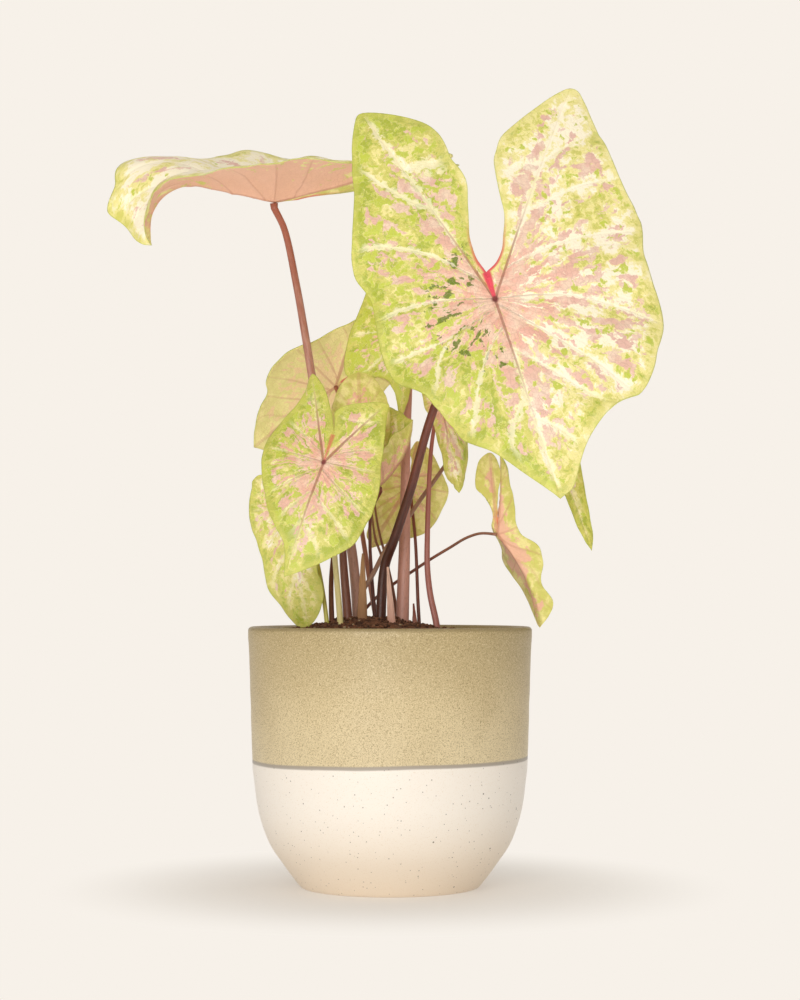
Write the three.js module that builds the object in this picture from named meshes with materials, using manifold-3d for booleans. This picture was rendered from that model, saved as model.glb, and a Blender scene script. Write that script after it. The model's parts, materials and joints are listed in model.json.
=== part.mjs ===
// A caladium in its glazed pot, in millimetres, +Z up. The origin is the centre of the pot's flat foot
// and -Y is the front. Every blade is a waved sheet of even thickness on a flat outline that is
// arched, folded and curled; every stalk is a tapered tube that stands in a plain hole in the soil.

import * as THREE from "three";
import { mergeVertices } from "three/addons/utils/BufferGeometryUtils.js";
import Module from "manifold-3d";

const wasm = await Module();
wasm.setup();

// ---------------------------------------------------------------- driving dimensions
const POT_HEIGHT = 192;
const RIM_RADIUS = 105.4;
const FOOT_RADIUS = 66;
const WALL = 6;
const FLOOR = 9;
const POT_SIDES = 36;

const GAP = 0.4; // kept between pieces that touch
const SOIL_EDGE = 186; // height of the soil where it meets the wall
const SOIL_MOUND = { x: -12, y: 4, height: 9, spread: 40 };
const SOIL_RIM = 16; // width of the level ring of soil along the wall
const SOIL_RINGS = [0, 12, 24, 36, 48, 60, 72, 84, 92];

const BLADE = 0.9; // thickness of a leaf blade
const SHEATH = 1.2; // thickness of a sheath
const SHEATH_ROWS = 7;
const SHEATH_COLUMNS = 4;
const SHEATH_TAPER = 0.85; // share of its width that a sheath loses towards its tip
const SHEATH_BULGE = 0.2; // how far it bulges to the front, as a share of its radius
const LOBE_VEIN = 0.9; // how far the vein of a lobe reaches, as a share of the way to its end
const MIDRIB = 0.88; // how far the rows of a blade stand along its midrib
const WAVE_GROWTH = 2.2; // power by which the waves grow from the vein to the edge
const LEAN_REACH = 40; // length over which a blade's width takes up the lean of its lobes
const STALK_SIDES = 7;
const STALK_STEP = 24; // length of one ring of a stalk

const COLOURS = {
  pot: 0xb3a57c,
  soil: 0x4a3226,
  tuber: 0x8a6a4a,
  green: 0xb9cc58,
  pale: 0xe6e3a8,
  shaded: 0x9aa05a,
  darkStalk: 0x5a2a22,
  brownStalk: 0xa5614f,
  pinkStalk: 0xc98b7e,
  paleStalk: 0xcdbf83,
};

// ---------------------------------------------------------------- the leaves
// joint is where the stalk meets the blade. The flat outline is measured from it: a along the
// midrib, positive towards the tip, and b across it, positive to the left half. A third number lifts
// the edge off the sheet. tip and face are the ways that the midrib and the upper side look at the
// joint. tipArc and lobeArc are [straight length, degrees turned away from the upper side]; fold and
// curl give each half's degrees at the lobe, the joint and the tip.
const LEAVES = [
  {
    name: "front", colour: "green", stalk: "darkStalk",
    joint: [75, -85, 426], tip: [0.27, -0.33, -0.9], face: [-0.07, -0.94, 0.32],
    tipLength: 160, lobeLength: 178, halfWidth: 105, tipArc: [40, 18], lobeArc: [30, 10],
    curlFrom: 10, rings: 5, waves: { height: 2.2, count: 7, phase: 0.1 },
    sinus: [-22, 0], tipEnd: [155, -1],
    left: {
      fold: [-4, 2, 4], curl: [4, 10, 16],
      wall: [[-34, 3], [-50, 4], [-73.3, -1.4], [-99, -7.5], [-123.2, -2.4], [-148, 0], [-164.8, 13.8]],
      lobe: [-180.6, 49.3],
      flank: [[-167, 60], [-140, 68], [-110.9, 74.4], [-79.5, 84.4], [-52, 91.1], [-29, 85], [-14, 86]],
      shoulder: [4, 88],
      lower: [
        [24, 89], [39, 84], [50, 71], [63.6, 64.3], [82, 57], [96, 51], [108.6, 36.4], [127.3, 20.7],
        [143, 8],
      ],
    },
    right: {
      fold: [2, 2, 2], curl: [12, 12, 14],
      wall: [
        [-28.7, -10.4], [-42.4, -18], [-65, -26], [-90.2, -28.5], [-114, -33], [-133.3, -46.4],
        [-152.8, -79.8],
      ],
      lobe: [-163, -106.3],
      flank: [
        [-150, -114], [-124, -116], [-105.4, -116.8], [-73.5, -117.4], [-46.1, -121.9], [-29, -122],
        [-9.5, -115],
      ],
      shoulder: [12.7, -114.7],
      lower: [
        [32, -114.9], [50.8, -111.3], [70.6, -99.2], [88.2, -88.8], [97.2, -78.1], [99, -64], [107, -47],
        [126.1, -26.9], [148, -14],
      ],
    },
    stalkWidth: [2.7, 3.8], under: 2.6,
    path: [[65, -66, 410], [34, -50, 355], [15, -34, 292], [3, -25, 256], [-4, -18, 236], [-7, -16, 191]],
  },
  {
    name: "top", colour: "pale", stalk: "brownStalk",
    joint: [-90, 60, 520], tip: [-0.97, -0.06, 0.21], face: [0.22, -0.31, 0.92],
    tipLength: 136, lobeLength: 150, halfWidth: 84, tipArc: [56, 128], lobeArc: [0, -4], lobeLean: -18,
    curlFrom: 8, rings: 5, waves: { height: 0.8, count: 5, phase: 0.3 },
    sinus: [-18, 0], tipEnd: [132, 0],
    left: {
      fold: [-22, -24, -30], curl: [0, 0, -10],
      wall: [[-34, 3], [-66, 4], [-104, 8]],
      lobe: [-146, 30, -6],
      flank: [[-116, 60, -22], [-76, 78, -26], [-31, 82, -14]],
      shoulder: [-7, 82, -12],
      lower: [
        [28, 82, -14], [47, 80, -27], [67, 77, -35], [86, 72, -17.4], [97.7, 62.9, 11], [105.7, 48.5, 13],
        [115.4, 46.6, 15], [120.3, 29, 8], [128.7, 8.8, 6],
      ],
    },
    right: {
      fold: [-44, -48, -12], curl: [42, 46, 20],
      wall: [[-34, -3], [-66, -5], [-104, -12]],
      lobe: [-142, -34],
      flank: [[-116, -62], [-65, -78, -3.3], [-35, -82, 3]],
      shoulder: [-8, -80, 4.5],
      lower: [
        [12, -78, 2.8], [25, -76, -0.5], [42, -72, -1.2], [61, -66, -6.3], [79, -56, -6.1],
        [99, -41, -10.3], [111, -29, -6.5], [124, -14, -3.8],
      ],
    },
    stalkWidth: [2.5, 4], under: 3,
    path: [
      [-82, 55, 498], [-72, 42, 453], [-64, 27, 409], [-58, 21, 374], [-42, 12, 306], [-29, 9, 250], [-24, 14, 191],
    ],
  },
  {
    name: "left_front", colour: "green", stalk: "paleStalk",
    joint: [-47, -80, 310], tip: [-0.3, -0.3, -0.9], face: [-0.06, -0.94, 0.33],
    tipLength: 96, lobeLength: 70, halfWidth: 50, tipArc: [20, 24], lobeArc: [20, 8],
    curlFrom: 6, rings: 4, waves: { height: 1.3, count: 5, phase: 0.2 },
    sinus: [-22, -1], tipEnd: [88, 2],
    left: {
      fold: [10, 7, 4], curl: [20, 18, 16],
      wall: [[-31, 3], [-42, 9], [-57, 19]],
      lobe: [-70, 34],
      flank: [[-54, 34], [-40, 35], [-27, 42]],
      shoulder: [-12, 49],
      lower: [[6, 47], [25, 39], [41, 31], [54, 20], [66, 9], [77, 5]],
    },
    right: {
      fold: [6, 5, 4], curl: [10, 10, 10],
      wall: [[-32, 2], [-42, 4], [-52, -12]],
      lobe: [-59, -29],
      flank: [[-48, -32], [-36, -35], [-23, -38]],
      shoulder: [-11, -40],
      lower: [[2, -43], [21, -45], [35, -43], [53, -39], [66, -26], [79, -11]],
    },
    stalkWidth: [1.5, 2.4], under: 2.6,
    path: [[-44, -62, 294], [-42, -48, 270], [-40, -40, 243], [-36, -32, 191]],
  },
  {
    name: "left_back", colour: "shaded", stalk: "brownStalk",
    joint: [-43, 80, 378], tip: [-0.81, 0.1, -0.58], face: [-0.28, 0.8, 0.53],
    tipLength: 76, lobeLength: 70, halfWidth: 55, tipArc: [20, 20], lobeArc: [20, 10],
    curlFrom: 4, rings: 4, waves: { height: 1.3, count: 5, phase: 0.4 },
    sinus: [-8, 0], tipEnd: [80, -6],
    left: {
      fold: [4, 4, 4], curl: [16, 16, 16],
      wall: [[-13, 4], [-23, 7], [-37, 10]],
      lobe: [-46, 16],
      flank: [[-38, 25], [-30, 27], [-16, 32]],
      shoulder: [3, 34],
      lower: [[20, 33], [36, 30], [50, 24], [63, 16], [71, 8], [75, 3]],
    },
    right: {
      fold: [8, 6, 4], curl: [20, 18, 16],
      wall: [[-15, -1], [-28, -9], [-42, -23]],
      lobe: [-49, -47],
      flank: [[-37, -48], [-25.2, -51.6], [-11.5, -55.5]],
      shoulder: [-1.4, -57.6],
      lower: [[14.2, -60.6], [28.5, -59], [39.9, -47.5], [44.8, -36.2], [56.5, -31.2], [70.7, -17.3]],
    },
    stalkWidth: [1.5, 2], under: 2.8,
    path: [
      [-40, 71, 369], [-38, 66, 357], [-31, 54, 315], [-22, 38, 266], [-15, 25, 223], [-10, 18, 191],
    ],
  },
  {
    name: "middle", colour: "green", stalk: "pinkStalk",
    joint: [13, 0, 413], tip: [-0.08, -0.18, -0.98], face: [-0.06, -0.98, 0.18],
    tipLength: 66, lobeLength: 55, halfWidth: 50, tipArc: [20, 10], lobeArc: [10, 20],
    curlFrom: 4, rings: 4, waves: { height: 1, count: 5, phase: 0.1 },
    sinus: [-9, 0], tipEnd: [67, 0],
    left: {
      fold: [8, 11, 14], curl: [16, 16, 16],
      wall: [[-20, 5], [-32, 10]],
      lobe: [-44, 19],
      flank: [[-39, 32], [-26, 37]],
      shoulder: [-8, 44],
      lower: [
        [10, 48], [29, 49], [36, 44], [36, 35], [37, 27], [36, 20], [38, 14], [43, 9], [52, 5], [62, 2],
      ],
    },
    right: {
      fold: [10, 35, 60], curl: [20, 20, 20],
      wall: [[-20, -2], [-33, -5]],
      lobe: [-47, -13],
      flank: [[-42, -25], [-32, -34]],
      shoulder: [-19, -41],
      lower: [
        [-5, -41], [6, -39], [16, -33], [23, -26], [28, -18], [33, -12], [40, -9], [48, -7], [56, -6],
        [62, -4],
      ],
    },
    stalkWidth: [2.2, 5.2], under: 4,
    path: [[15, 7, 397], [14, 8, 373], [12, 8, 324], [11, 8, 257], [9, 6, 191]],
  },
  {
    name: "left_low", colour: "pale", stalk: "paleStalk",
    joint: [-73, -32, 280], tip: [0.15, 0.02, -0.99], face: [-0.29, -0.95, -0.06],
    tipLength: 92, lobeLength: 34, halfWidth: 40, tipArc: [20, 14], lobeArc: [10, 10],
    curlFrom: 4, rings: 4, waves: { height: 1.2, count: 4, phase: 0.6 },
    sinus: [-7, -2], tipEnd: [91, 3],
    left: {
      fold: [6, 6, 6], curl: [20, 20, 20],
      wall: [[-14, 2], [-21, 7]],
      lobe: [-27, 18],
      flank: [[-25.2, 28.3], [-17, 31]],
      shoulder: [-8.1, 34.3],
      lower: [[6.3, 39], [22.2, 33.2], [36, 30], [57.9, 31.6], [72.6, 21.2], [87.1, 12.7]],
    },
    right: {
      fold: [6, 6, 6], curl: [16, 16, 16],
      wall: [[-13, -9], [-18, -16]],
      lobe: [-20, -27],
      flank: [[-12, -33], [-1, -35]],
      shoulder: [11, -32],
      lower: [[23, -26], [37, -17], [49, -13], [60, -14], [71, -13], [82, -6]],
    },
    stalkWidth: [1.1, 1.8], under: 2.2,
    path: [[-66, -20, 266], [-58, -16, 252], [-53, -16, 237], [-46, -20, 191]],
  },
  {
    name: "right_back", colour: "green", stalk: "brownStalk",
    joint: [115, 20, 356], tip: [0.36, -0.16, -0.92], face: [-0.11, -0.99, 0.13],
    tipLength: 112, lobeLength: 42, halfWidth: 38, tipArc: [30, -10], lobeArc: [10, 10],
    curlFrom: 4, rings: 3, waves: { height: 1.2, count: 4, phase: 0 },
    sinus: [-9, -2], tipEnd: [117, 7],
    left: {
      fold: [-6, -13, -20], curl: [10, 5, 0],
      wall: [[-18, -1], [-27, -1]],
      lobe: [-37, 3],
      flank: [[-34, 13], [-23, 21]],
      shoulder: [-8, 25],
      lower: [[10, 24], [30, 20], [49, 13], [68, 10], [86, 10], [105, 9]],
    },
    right: {
      fold: [-6, -13, -20], curl: [10, 5, 0],
      wall: [[-16, -10], [-22, -17]],
      lobe: [-26, -27],
      flank: [[-17, -33], [-4, -33]],
      shoulder: [9, -30],
      lower: [[23, -24], [36, -16], [50, -11], [68, -7], [88, -3], [105, 1]],
    },
    stalkWidth: [1.3, 1.9], under: 2.4,
    path: [
      [104, 34, 361], [88, 42, 363], [66, 46, 347], [49, 42, 325], [39, 36, 310], [24, 28, 289],
      [11, 18, 270], [2, 9, 258], [-5, -1, 246], [-13, -8, 230], [-20, -10, 218], [-24, -8, 191],
    ],
  },
  {
    name: "right_low", colour: "shaded", stalk: "brownStalk",
    joint: [79, -20, 260], tip: [0.4, -0.1, -0.91], face: [0.33, 0.94, 0.04],
    tipLength: 76, lobeLength: 62, halfWidth: 32, tipArc: [20, -24], lobeArc: [10, -20], sway: 7,
    curlFrom: 3, rings: 4, waves: { height: 0.8, count: 4, phase: 0.5 },
    sinus: [-9, 4], tipEnd: [78, -6],
    left: {
      fold: [10, -14, -10], curl: [20, 30, 30],
      wall: [[-17, 10], [-28, 17], [-39, 23]],
      lobe: [-50, 28],
      flank: [[-41, 30], [-31, 25], [-18.7, 22.8]],
      shoulder: [-3.8, 17.3],
      lower: [[9, 15], [20, 19], [33, 16], [46, 8], [61.5, 11.9], [70.5, 7.4]],
    },
    right: {
      fold: [20, -66, -50], curl: [0, 0, 0],
      wall: [[-17, 8], [-29, 14], [-42, 22]],
      lobe: [-56.7, 20.6],
      flank: [[-54.6, 8], [-40.2, -1.6], [-29.5, 3]],
      shoulder: [-17, 4.4],
      lower: [[-3, -5], [8, -24], [16, -42], [32.1, -32.4], [45.8, -21.7], [62.2, -13.5]],
    },
    stalkWidth: [1, 1.3], under: 2,
    path: [
      [67, -8, 261], [57, 4, 258], [45, 22, 251], [30, 30, 242], [15, 33, 232], [3, 32, 224],
      [-14, 30, 210], [-29, 32, 190],
    ],
  },
  {
    name: "centre_low", colour: "green", stalk: "darkStalk",
    joint: [15, 42, 300], tip: [-0.42, -0.18, -0.89], face: [0.02, 0.98, -0.21],
    tipLength: 58, lobeLength: 34, halfWidth: 36, tipArc: [14, -10], lobeArc: [10, -10],
    curlFrom: 4, rings: 3, waves: { height: 1, count: 4, phase: 0.2 },
    sinus: [-8, -3], tipEnd: [57, -6],
    left: {
      fold: [-4, -4, -4], curl: [-20, -20, -20],
      wall: [[-17, -7], [-25, -11]],
      lobe: [-35, -10],
      flank: [[-31, 2], [-20, 18]],
      shoulder: [-10, 28],
      lower: [[5, 31], [27, 28], [44, 10]],
    },
    right: {
      fold: [-10, -7, -4], curl: [-20, -20, -20],
      wall: [[-15, -11], [-23, -19]],
      lobe: [-27, -29],
      flank: [[-16, -34], [-1, -31]],
      shoulder: [14, -26],
      lower: [[28, -21], [40, -17], [50, -13]],
    },
    stalkWidth: [1.1, 1.4], under: 2.2,
    path: [[16, 38, 288], [19, 32, 257], [21, 25, 210], [22, 23, 191]],
  },
  {
    name: "right_inner", colour: "green", stalk: "pinkStalk",
    joint: [38, 14, 364], tip: [0.18, -0.16, -0.97], face: [-0.25, -0.96, 0.11],
    tipLength: 74, lobeLength: 28, halfWidth: 28, tipArc: [20, 10], lobeArc: [6, 10],
    curlFrom: 4, rings: 3, waves: { height: 0.8, count: 4, phase: 0.3 },
    sinus: [-7, -2], tipEnd: [74, 1],
    left: {
      fold: [4, 12, 20], curl: [20, 25, 30],
      wall: [[-14, 0], [-21, 3]],
      lobe: [-26, 7],
      flank: [[-22, 13], [-9, 15]],
      shoulder: [6, 14],
      lower: [[19, 10], [33, 10], [45, 8], [56, 9], [64, 7], [68, 4]],
    },
    right: {
      fold: [10, 35, 60], curl: [20, 35, 50],
      wall: [[-13, -7], [-18, -13]],
      lobe: [-21, -18],
      flank: [[-14, -24], [-4, -30]],
      shoulder: [7, -33],
      lower: [[19, -28], [34, -22], [45, -18], [55, -13], [63, -9], [70, -4]],
    },
    stalkWidth: [1.3, 2.6], under: 2.8,
    path: [[35, 20, 351], [31, 23, 325], [28, 22, 257], [28, 20, 236], [30, 16, 216], [35, 14, 191]],
  },
  {
    name: "young_standing", colour: "shaded", stalk: "brownStalk",
    joint: [-20, -32, 329], tip: [-0.08, 0.02, 1], face: [0.05, 1, -0.02],
    tipLength: 58, lobeLength: 34, halfWidth: 30, tipArc: [14, -50], lobeArc: [10, 10],
    curlFrom: 2, rings: 3, waves: { height: 0.5, count: 3, phase: 0 },
    sinus: [-6, 0], tipEnd: [57, 0],
    left: {
      fold: [0, 0, 0], curl: [-30, -35, -40],
      wall: [[-11, 3], [-17, 6]],
      lobe: [-23, 10],
      flank: [[-19, 16], [-9, 19]],
      shoulder: [3, 21],
      lower: [[13, 22], [24, 22], [35, 19], [45, 14], [52, 8]],
    },
    right: {
      fold: [0, 0, 0], curl: [-30, -35, -40],
      wall: [[-11, -3], [-17, -6]],
      lobe: [-23, -10],
      flank: [[-19, -16], [-9, -19]],
      shoulder: [3, -21],
      lower: [[13, -22], [24, -22], [35, -19], [45, -14], [52, -8]],
    },
    stalkWidth: [1.5, 3.8], under: 2.4,
    path: [
      [-21, -35, 318], [-25, -33, 303], [-31, -21, 285], [-35, -8, 262], [-35, -3, 244], [-31, -2, 191],
    ],
  },
  {
    name: "young_folded", colour: "shaded", stalk: "darkStalk",
    joint: [-8, -31, 295], tip: [0.74, -0.1, 0.66], face: [-0.67, 0, 0.75],
    tipLength: 56, lobeLength: 20, halfWidth: 30, tipArc: [2, -44], lobeArc: [6, 10],
    curlFrom: 2, rings: 3, waves: { height: 0.4, count: 3, phase: 0 },
    sinus: [-6, 0], tipEnd: [56, 0],
    left: {
      fold: [-55, -60, -60], curl: [-8, -8, -8],
      wall: [[-10, 3], [-15, 6]],
      lobe: [-19, 10],
      flank: [[-16, 16], [-8, 21]],
      shoulder: [2, 24],
      lower: [[12, 25], [30, 22, -16], [39, 18, -9], [47, 10, -4]],
    },
    right: {
      fold: [-50, -55, -55], curl: [0, 0, 0],
      wall: [[-10, -3], [-15, -6]],
      lobe: [-19, -10],
      flank: [[-16, -18], [-8, -26]],
      shoulder: [2, -31],
      lower: [[12, -35], [64, -36, -13], [63, -28, -16], [58, -14, -9]],
    },
    stalkWidth: [1.1, 1.5], under: 2.6,
    path: [[-14, -10, 277], [-15, 0, 253], [-14, 4, 233], [-11, 6, 191]],
  },
  {
    name: "small_back", colour: "green", stalk: "brownStalk",
    joint: [-39, 35, 308], tip: [-0.45, 0.1, -0.89], face: [0, 0.95, 0.3],
    tipLength: 62, lobeLength: 28, halfWidth: 30, tipArc: [14, 16], lobeArc: [6, 10],
    curlFrom: 3, rings: 3, waves: { height: 0.8, count: 4, phase: 0.7 },
    sinus: [-8, 0], tipEnd: [62, 0],
    left: {
      fold: [-4, -4, -4], curl: [20, 20, 20],
      wall: [[-15, 4], [-22, 8]],
      lobe: [-28, 14],
      flank: [[-22, 22], [-9, 27]],
      shoulder: [5, 28],
      lower: [[18, 26], [31, 22], [42, 16], [52, 8]],
    },
    right: {
      fold: [-4, -4, -4], curl: [20, 20, 20],
      wall: [[-15, -4], [-22, -8]],
      lobe: [-28, -14],
      flank: [[-22, -21], [-9, -26]],
      shoulder: [5, -28],
      lower: [[18, -27], [31, -22], [42, -15], [52, -8]],
    },
    stalkWidth: [1.1, 2.2], under: 2.4,
    path: [[-40, 32, 289], [-42, 22, 257], [-44, 6, 226], [-43, -8, 191]],
  },
];

// ---------------------------------------------------------------- spears, sheaths and tubers
const SPEARS = [
  {
    name: "spear_short", width: [0.5, 1.6],
    path: [[-18, 5, 309], [-14, 12, 278], [-11, 16, 257], [-7, 18, 246], [-2, 20, 223], [1, 20, 191]],
  },
  {
    name: "spear_tall", width: [0.5, 1.6],
    path: [[-14, 20, 321], [-11, 24, 278], [-7, 26, 257], [-5, 27, 250], [2, 29, 219], [6, 30, 191]],
  },
];

const SHEATHS = [
  {
    name: "sheath_brown", colour: "brownStalk",
    foot: [-20.5, -20], tip: [-20, -19, 246], radius: 5, width: 9,
  },
  {
    name: "sheath_pink", colour: "pinkStalk",
    foot: [2.5, -25.5], tip: [-1.6, -24.5, 236], radius: 4.5, width: 7,
  },
  {
    name: "sheath_small", colour: "pinkStalk",
    foot: [19.5, 11], tip: [17.6, 11, 209], radius: 4, width: 5.4,
  },
];

const TUBERS = [
  { name: "tuber_left", x: -34, y: -4, z: 160, halfSize: [20, 31, 15] },
  { name: "tuber_right", x: 10, y: 6, z: 160, halfSize: [22, 24, 15] },
];
const TUBER_KNOBS = 0.06; // depth of a tuber's bumps, as a share of its size
const TUBER_GAP = 0.8; // between a tuber and the soil
const TUBER_OF = {
  left: ["top", "left_front", "left_low", "right_back", "right_low", "young_standing", "small_back"],
};
const CROWN_PULL = 0.75; // how far in a stalk's foot stands, against its place at the soil
const CROWN_GAP = 1.6; // from a tuber's top up to the foot of a stalk
const HOLE_REACH = 4; // how far a stalk's hole runs on below it, into the hollow of its tuber

// ---------------------------------------------------------------- helpers
const radians = THREE.MathUtils.degToRad;
const vector = (values) => new THREE.Vector3(...values);

// A closed mesh from points and triangles, turned so that its faces point out.
function closedGeometry(points, triangles) {
  let volume = 0;
  for (const [i, j, k] of triangles) {
    volume += points[i].dot(new THREE.Vector3().crossVectors(points[j], points[k]));
  }
  const turned = volume < 0 ? triangles.map(([i, j, k]) => [i, k, j]) : triangles;
  const geometry = new THREE.BufferGeometry();
  const positions = points.flatMap((point) => point.toArray());
  geometry.setAttribute("position", new THREE.Float32BufferAttribute(positions, 3));
  geometry.setIndex(turned.flat());
  return geometry;
}

// Triangles of a grid of points that is stored row by row.
function gridTriangles(rows, columns) {
  const triangles = [];
  for (let row = 0; row + 1 < rows; row += 1) {
    for (let column = 0; column + 1 < columns; column += 1) {
      const here = row * columns + column;
      const above = here + columns;
      triangles.push([here, here + 1, above + 1], [here, above + 1, above]);
    }
  }
  return triangles;
}

function sheetOf(points, triangles) {
  const sheet = new THREE.BufferGeometry();
  const positions = points.flatMap((point) => point.toArray());
  sheet.setAttribute("position", new THREE.Float32BufferAttribute(positions, 3));
  sheet.setIndex(triangles.flat());
  return sheet;
}

function toManifold(geometry) {
  const bare = geometry.clone();
  bare.deleteAttribute("normal");
  bare.deleteAttribute("uv");
  const merged = mergeVertices(bare, 1e-4);
  return new wasm.Manifold(
    new wasm.Mesh({
      numProp: 3,
      vertProperties: new Float32Array(merged.attributes.position.array),
      triVerts: new Uint32Array(merged.index.array),
    }),
  );
}

function fromManifold(solid) {
  const mesh = solid.getMesh();
  const geometry = new THREE.BufferGeometry();
  geometry.setAttribute("position", new THREE.BufferAttribute(new Float32Array(mesh.vertProperties), 3));
  geometry.setIndex(new THREE.BufferAttribute(new Uint32Array(mesh.triVerts), 1));
  return geometry;
}

function piece(name, geometry, colour, roughness = 0.6) {
  const material = new THREE.MeshStandardMaterial({ color: COLOURS[colour], roughness, metalness: 0 });
  const mesh = new THREE.Mesh(geometry, material);
  mesh.name = name;
  return mesh;
}

// ---------------------------------------------------------------- blades
function leafFrame(leaf) {
  const tip = vector(leaf.tip).normalize();
  const face = vector(leaf.face);
  face.addScaledVector(tip, -face.dot(tip)).normalize();
  return { joint: vector(leaf.joint), tip, face, side: new THREE.Vector3().crossVectors(tip, face) };
}

// A line that leans at once, runs straight to start and then turns evenly over the rest of length.
// What stands on it takes up the lean little by little, over LEAN_REACH.
function bend(distance, [start, turn], length, lean = 0) {
  const first = radians(lean);
  const rate = radians(turn) / (length - start);
  const straight = Math.min(distance, start);
  const angle = first + rate * Math.max(distance - start, 0);
  return {
    along: straight * Math.cos(first) + (Math.sin(angle) - Math.sin(first)) / rate,
    away: straight * Math.sin(first) + (Math.cos(first) - Math.cos(angle)) / rate,
    angle: angle - first * (1 - Math.min(distance / LEAN_REACH, 1)),
  };
}

// A value that is given at the lobe, the joint and the tip, taken at a.
function alongLeaf([atLobe, atJoint, atTip], a, leaf) {
  const towardsLobe = THREE.MathUtils.clamp(-a / leaf.lobeLength, 0, 1);
  const towardsTip = THREE.MathUtils.clamp(a / leaf.tipLength, 0, 1);
  return atJoint + (atLobe - atJoint) * towardsLobe + (atTip - atJoint) * towardsTip;
}

// The flat point (a, b) on the arched, folded and curled sheet.
function onSheet(leaf, frame, a, b) {
  const half = b < 0 ? leaf.right : leaf.left;
  const tipPart = bend(Math.max(a, 0), leaf.tipArc, leaf.tipLength);
  const lobePart = bend(Math.max(-a, 0), leaf.lobeArc, leaf.lobeLength, leaf.lobeLean);
  const angle = tipPart.angle - lobePart.angle;
  const sway = (leaf.sway ?? 0) * Math.sin(Math.PI * THREE.MathUtils.clamp(a / leaf.tipLength, 0, 1));

  const fold = radians(alongLeaf(half.fold, a, leaf));
  const curl = radians(alongLeaf(half.curl, a, leaf) || 0.001) / (leaf.halfWidth - leaf.curlFrom);
  const flat = Math.min(Math.abs(b), leaf.curlFrom);
  const turned = fold + curl * Math.max(Math.abs(b) - leaf.curlFrom, 0);
  const across = flat * Math.cos(fold) + (Math.sin(turned) - Math.sin(fold)) / curl;
  const drop = flat * Math.sin(fold) + (Math.cos(fold) - Math.cos(turned)) / curl;

  return frame.joint
    .clone()
    .addScaledVector(frame.tip, tipPart.along - lobePart.along - drop * Math.sin(angle))
    .addScaledVector(frame.face, -tipPart.away - lobePart.away - drop * Math.cos(angle))
    .addScaledVector(frame.side, sway + Math.sign(b) * across);
}

// The way the upper side looks at (a, b).
function sheetFace(leaf, frame, a, b) {
  const step = 0.5;
  const alongA = onSheet(leaf, frame, a + step, b).sub(onSheet(leaf, frame, a - step, b));
  const alongB = onSheet(leaf, frame, a, b + step).sub(onSheet(leaf, frame, a, b - step));
  return alongB.cross(alongA).normalize();
}

// The rows of one half of a blade: each runs from a foot on the lobe's vein or the midrib to a point
// of the edge, round from the sinus by the lobe and the shoulder to the tip.
function halfRows(leaf, half) {
  const { wall, flank, lower } = half;
  const lastWall = wall[wall.length - 1];
  const veinEnd = [0, 1].map((axis) => LOBE_VEIN * 0.5 * (lastWall[axis] + flank[0][axis]));
  const foot = (share) => veinEnd.map((value) => value * share);
  const rib = (share) => leaf.tipEnd.map((value) => value * MIDRIB * share);
  const inner = [leaf.sinus, ...wall].map((edge, i) => [foot(i / wall.length), edge]);
  const outer = [...flank, half.shoulder].map((edge, i) => [foot(1 - i / flank.length), edge]);
  const tipward = lower.map((edge, i) => [rib((i + 1) / lower.length), edge]);
  return [...inner, [veinEnd, half.lobe], ...outer, ...tipward, [rib(1), leaf.tipEnd]];
}

function bladeGrid(leaf, frame, half) {
  const rows = halfRows(leaf, half);
  const { height, count, phase } = leaf.waves;
  return rows.map(([foot, edge], row) => {
    const round = row / (rows.length - 1);
    const fade = Math.sqrt(Math.max(0, Math.sin(Math.PI * round)));
    const wave = height * fade * Math.sin(2 * Math.PI * (count * round + phase));
    return Array.from({ length: leaf.rings + 1 }, (_, ring) => {
      const out = ring / leaf.rings;
      const [a, b] = [0, 1].map((axis) => foot[axis] + (edge[axis] - foot[axis]) * out);
      const lift = (edge[2] ?? 0) * out ** 2 + wave * out ** WAVE_GROWTH;
      return onSheet(leaf, frame, a, b).addScaledVector(sheetFace(leaf, frame, a, b), lift);
    });
  });
}

// One sheet from the two halves, whose midrib, tip and sinus are shared.
function bladeSheet(leaf) {
  const frame = leafFrame(leaf);
  const left = bladeGrid(leaf, frame, leaf.left);
  const right = bladeGrid(leaf, frame, leaf.right).reverse();
  const rows = [...left, ...right.slice(1)];
  const sheet = mergeVertices(sheetOf(rows.flat(), gridTriangles(rows.length, leaf.rings + 1)), 1e-3);
  const triangles = [];
  for (let i = 0; i < sheet.index.count; i += 3) {
    const triangle = [0, 1, 2].map((corner) => sheet.index.getX(i + corner));
    if (new Set(triangle).size === 3) triangles.push(triangle);
  }
  sheet.setIndex(triangles.flat());
  sheet.computeVertexNormals();
  return { sheet, triangles };
}

// A sheet given an even thickness, split into triangles alike on both faces.
function thicken({ sheet, triangles }, thickness) {
  const { position, normal } = sheet.attributes;
  const count = position.count;
  const points = [];
  for (const side of [0.5, -0.5]) {
    for (let i = 0; i < count; i += 1) {
      const point = new THREE.Vector3().fromBufferAttribute(position, i);
      const out = new THREE.Vector3().fromBufferAttribute(normal, i);
      points.push(point.addScaledVector(out, side * thickness));
    }
  }
  const edges = new Set(triangles.flatMap(([i, j, k]) => [`${i},${j}`, `${j},${k}`, `${k},${i}`]));
  const rim = [...edges]
    .map((edge) => edge.split(",").map(Number))
    .filter(([from, to]) => !edges.has(`${to},${from}`));
  const back = triangles.map(([i, j, k]) => [i + count, k + count, j + count]);
  const rimFaces = rim.flatMap(([from, to]) => [
    [to, from, from + count],
    [to, from + count, to + count],
  ]);
  return closedGeometry(points, [...triangles, ...back, ...rimFaces]);
}

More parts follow.
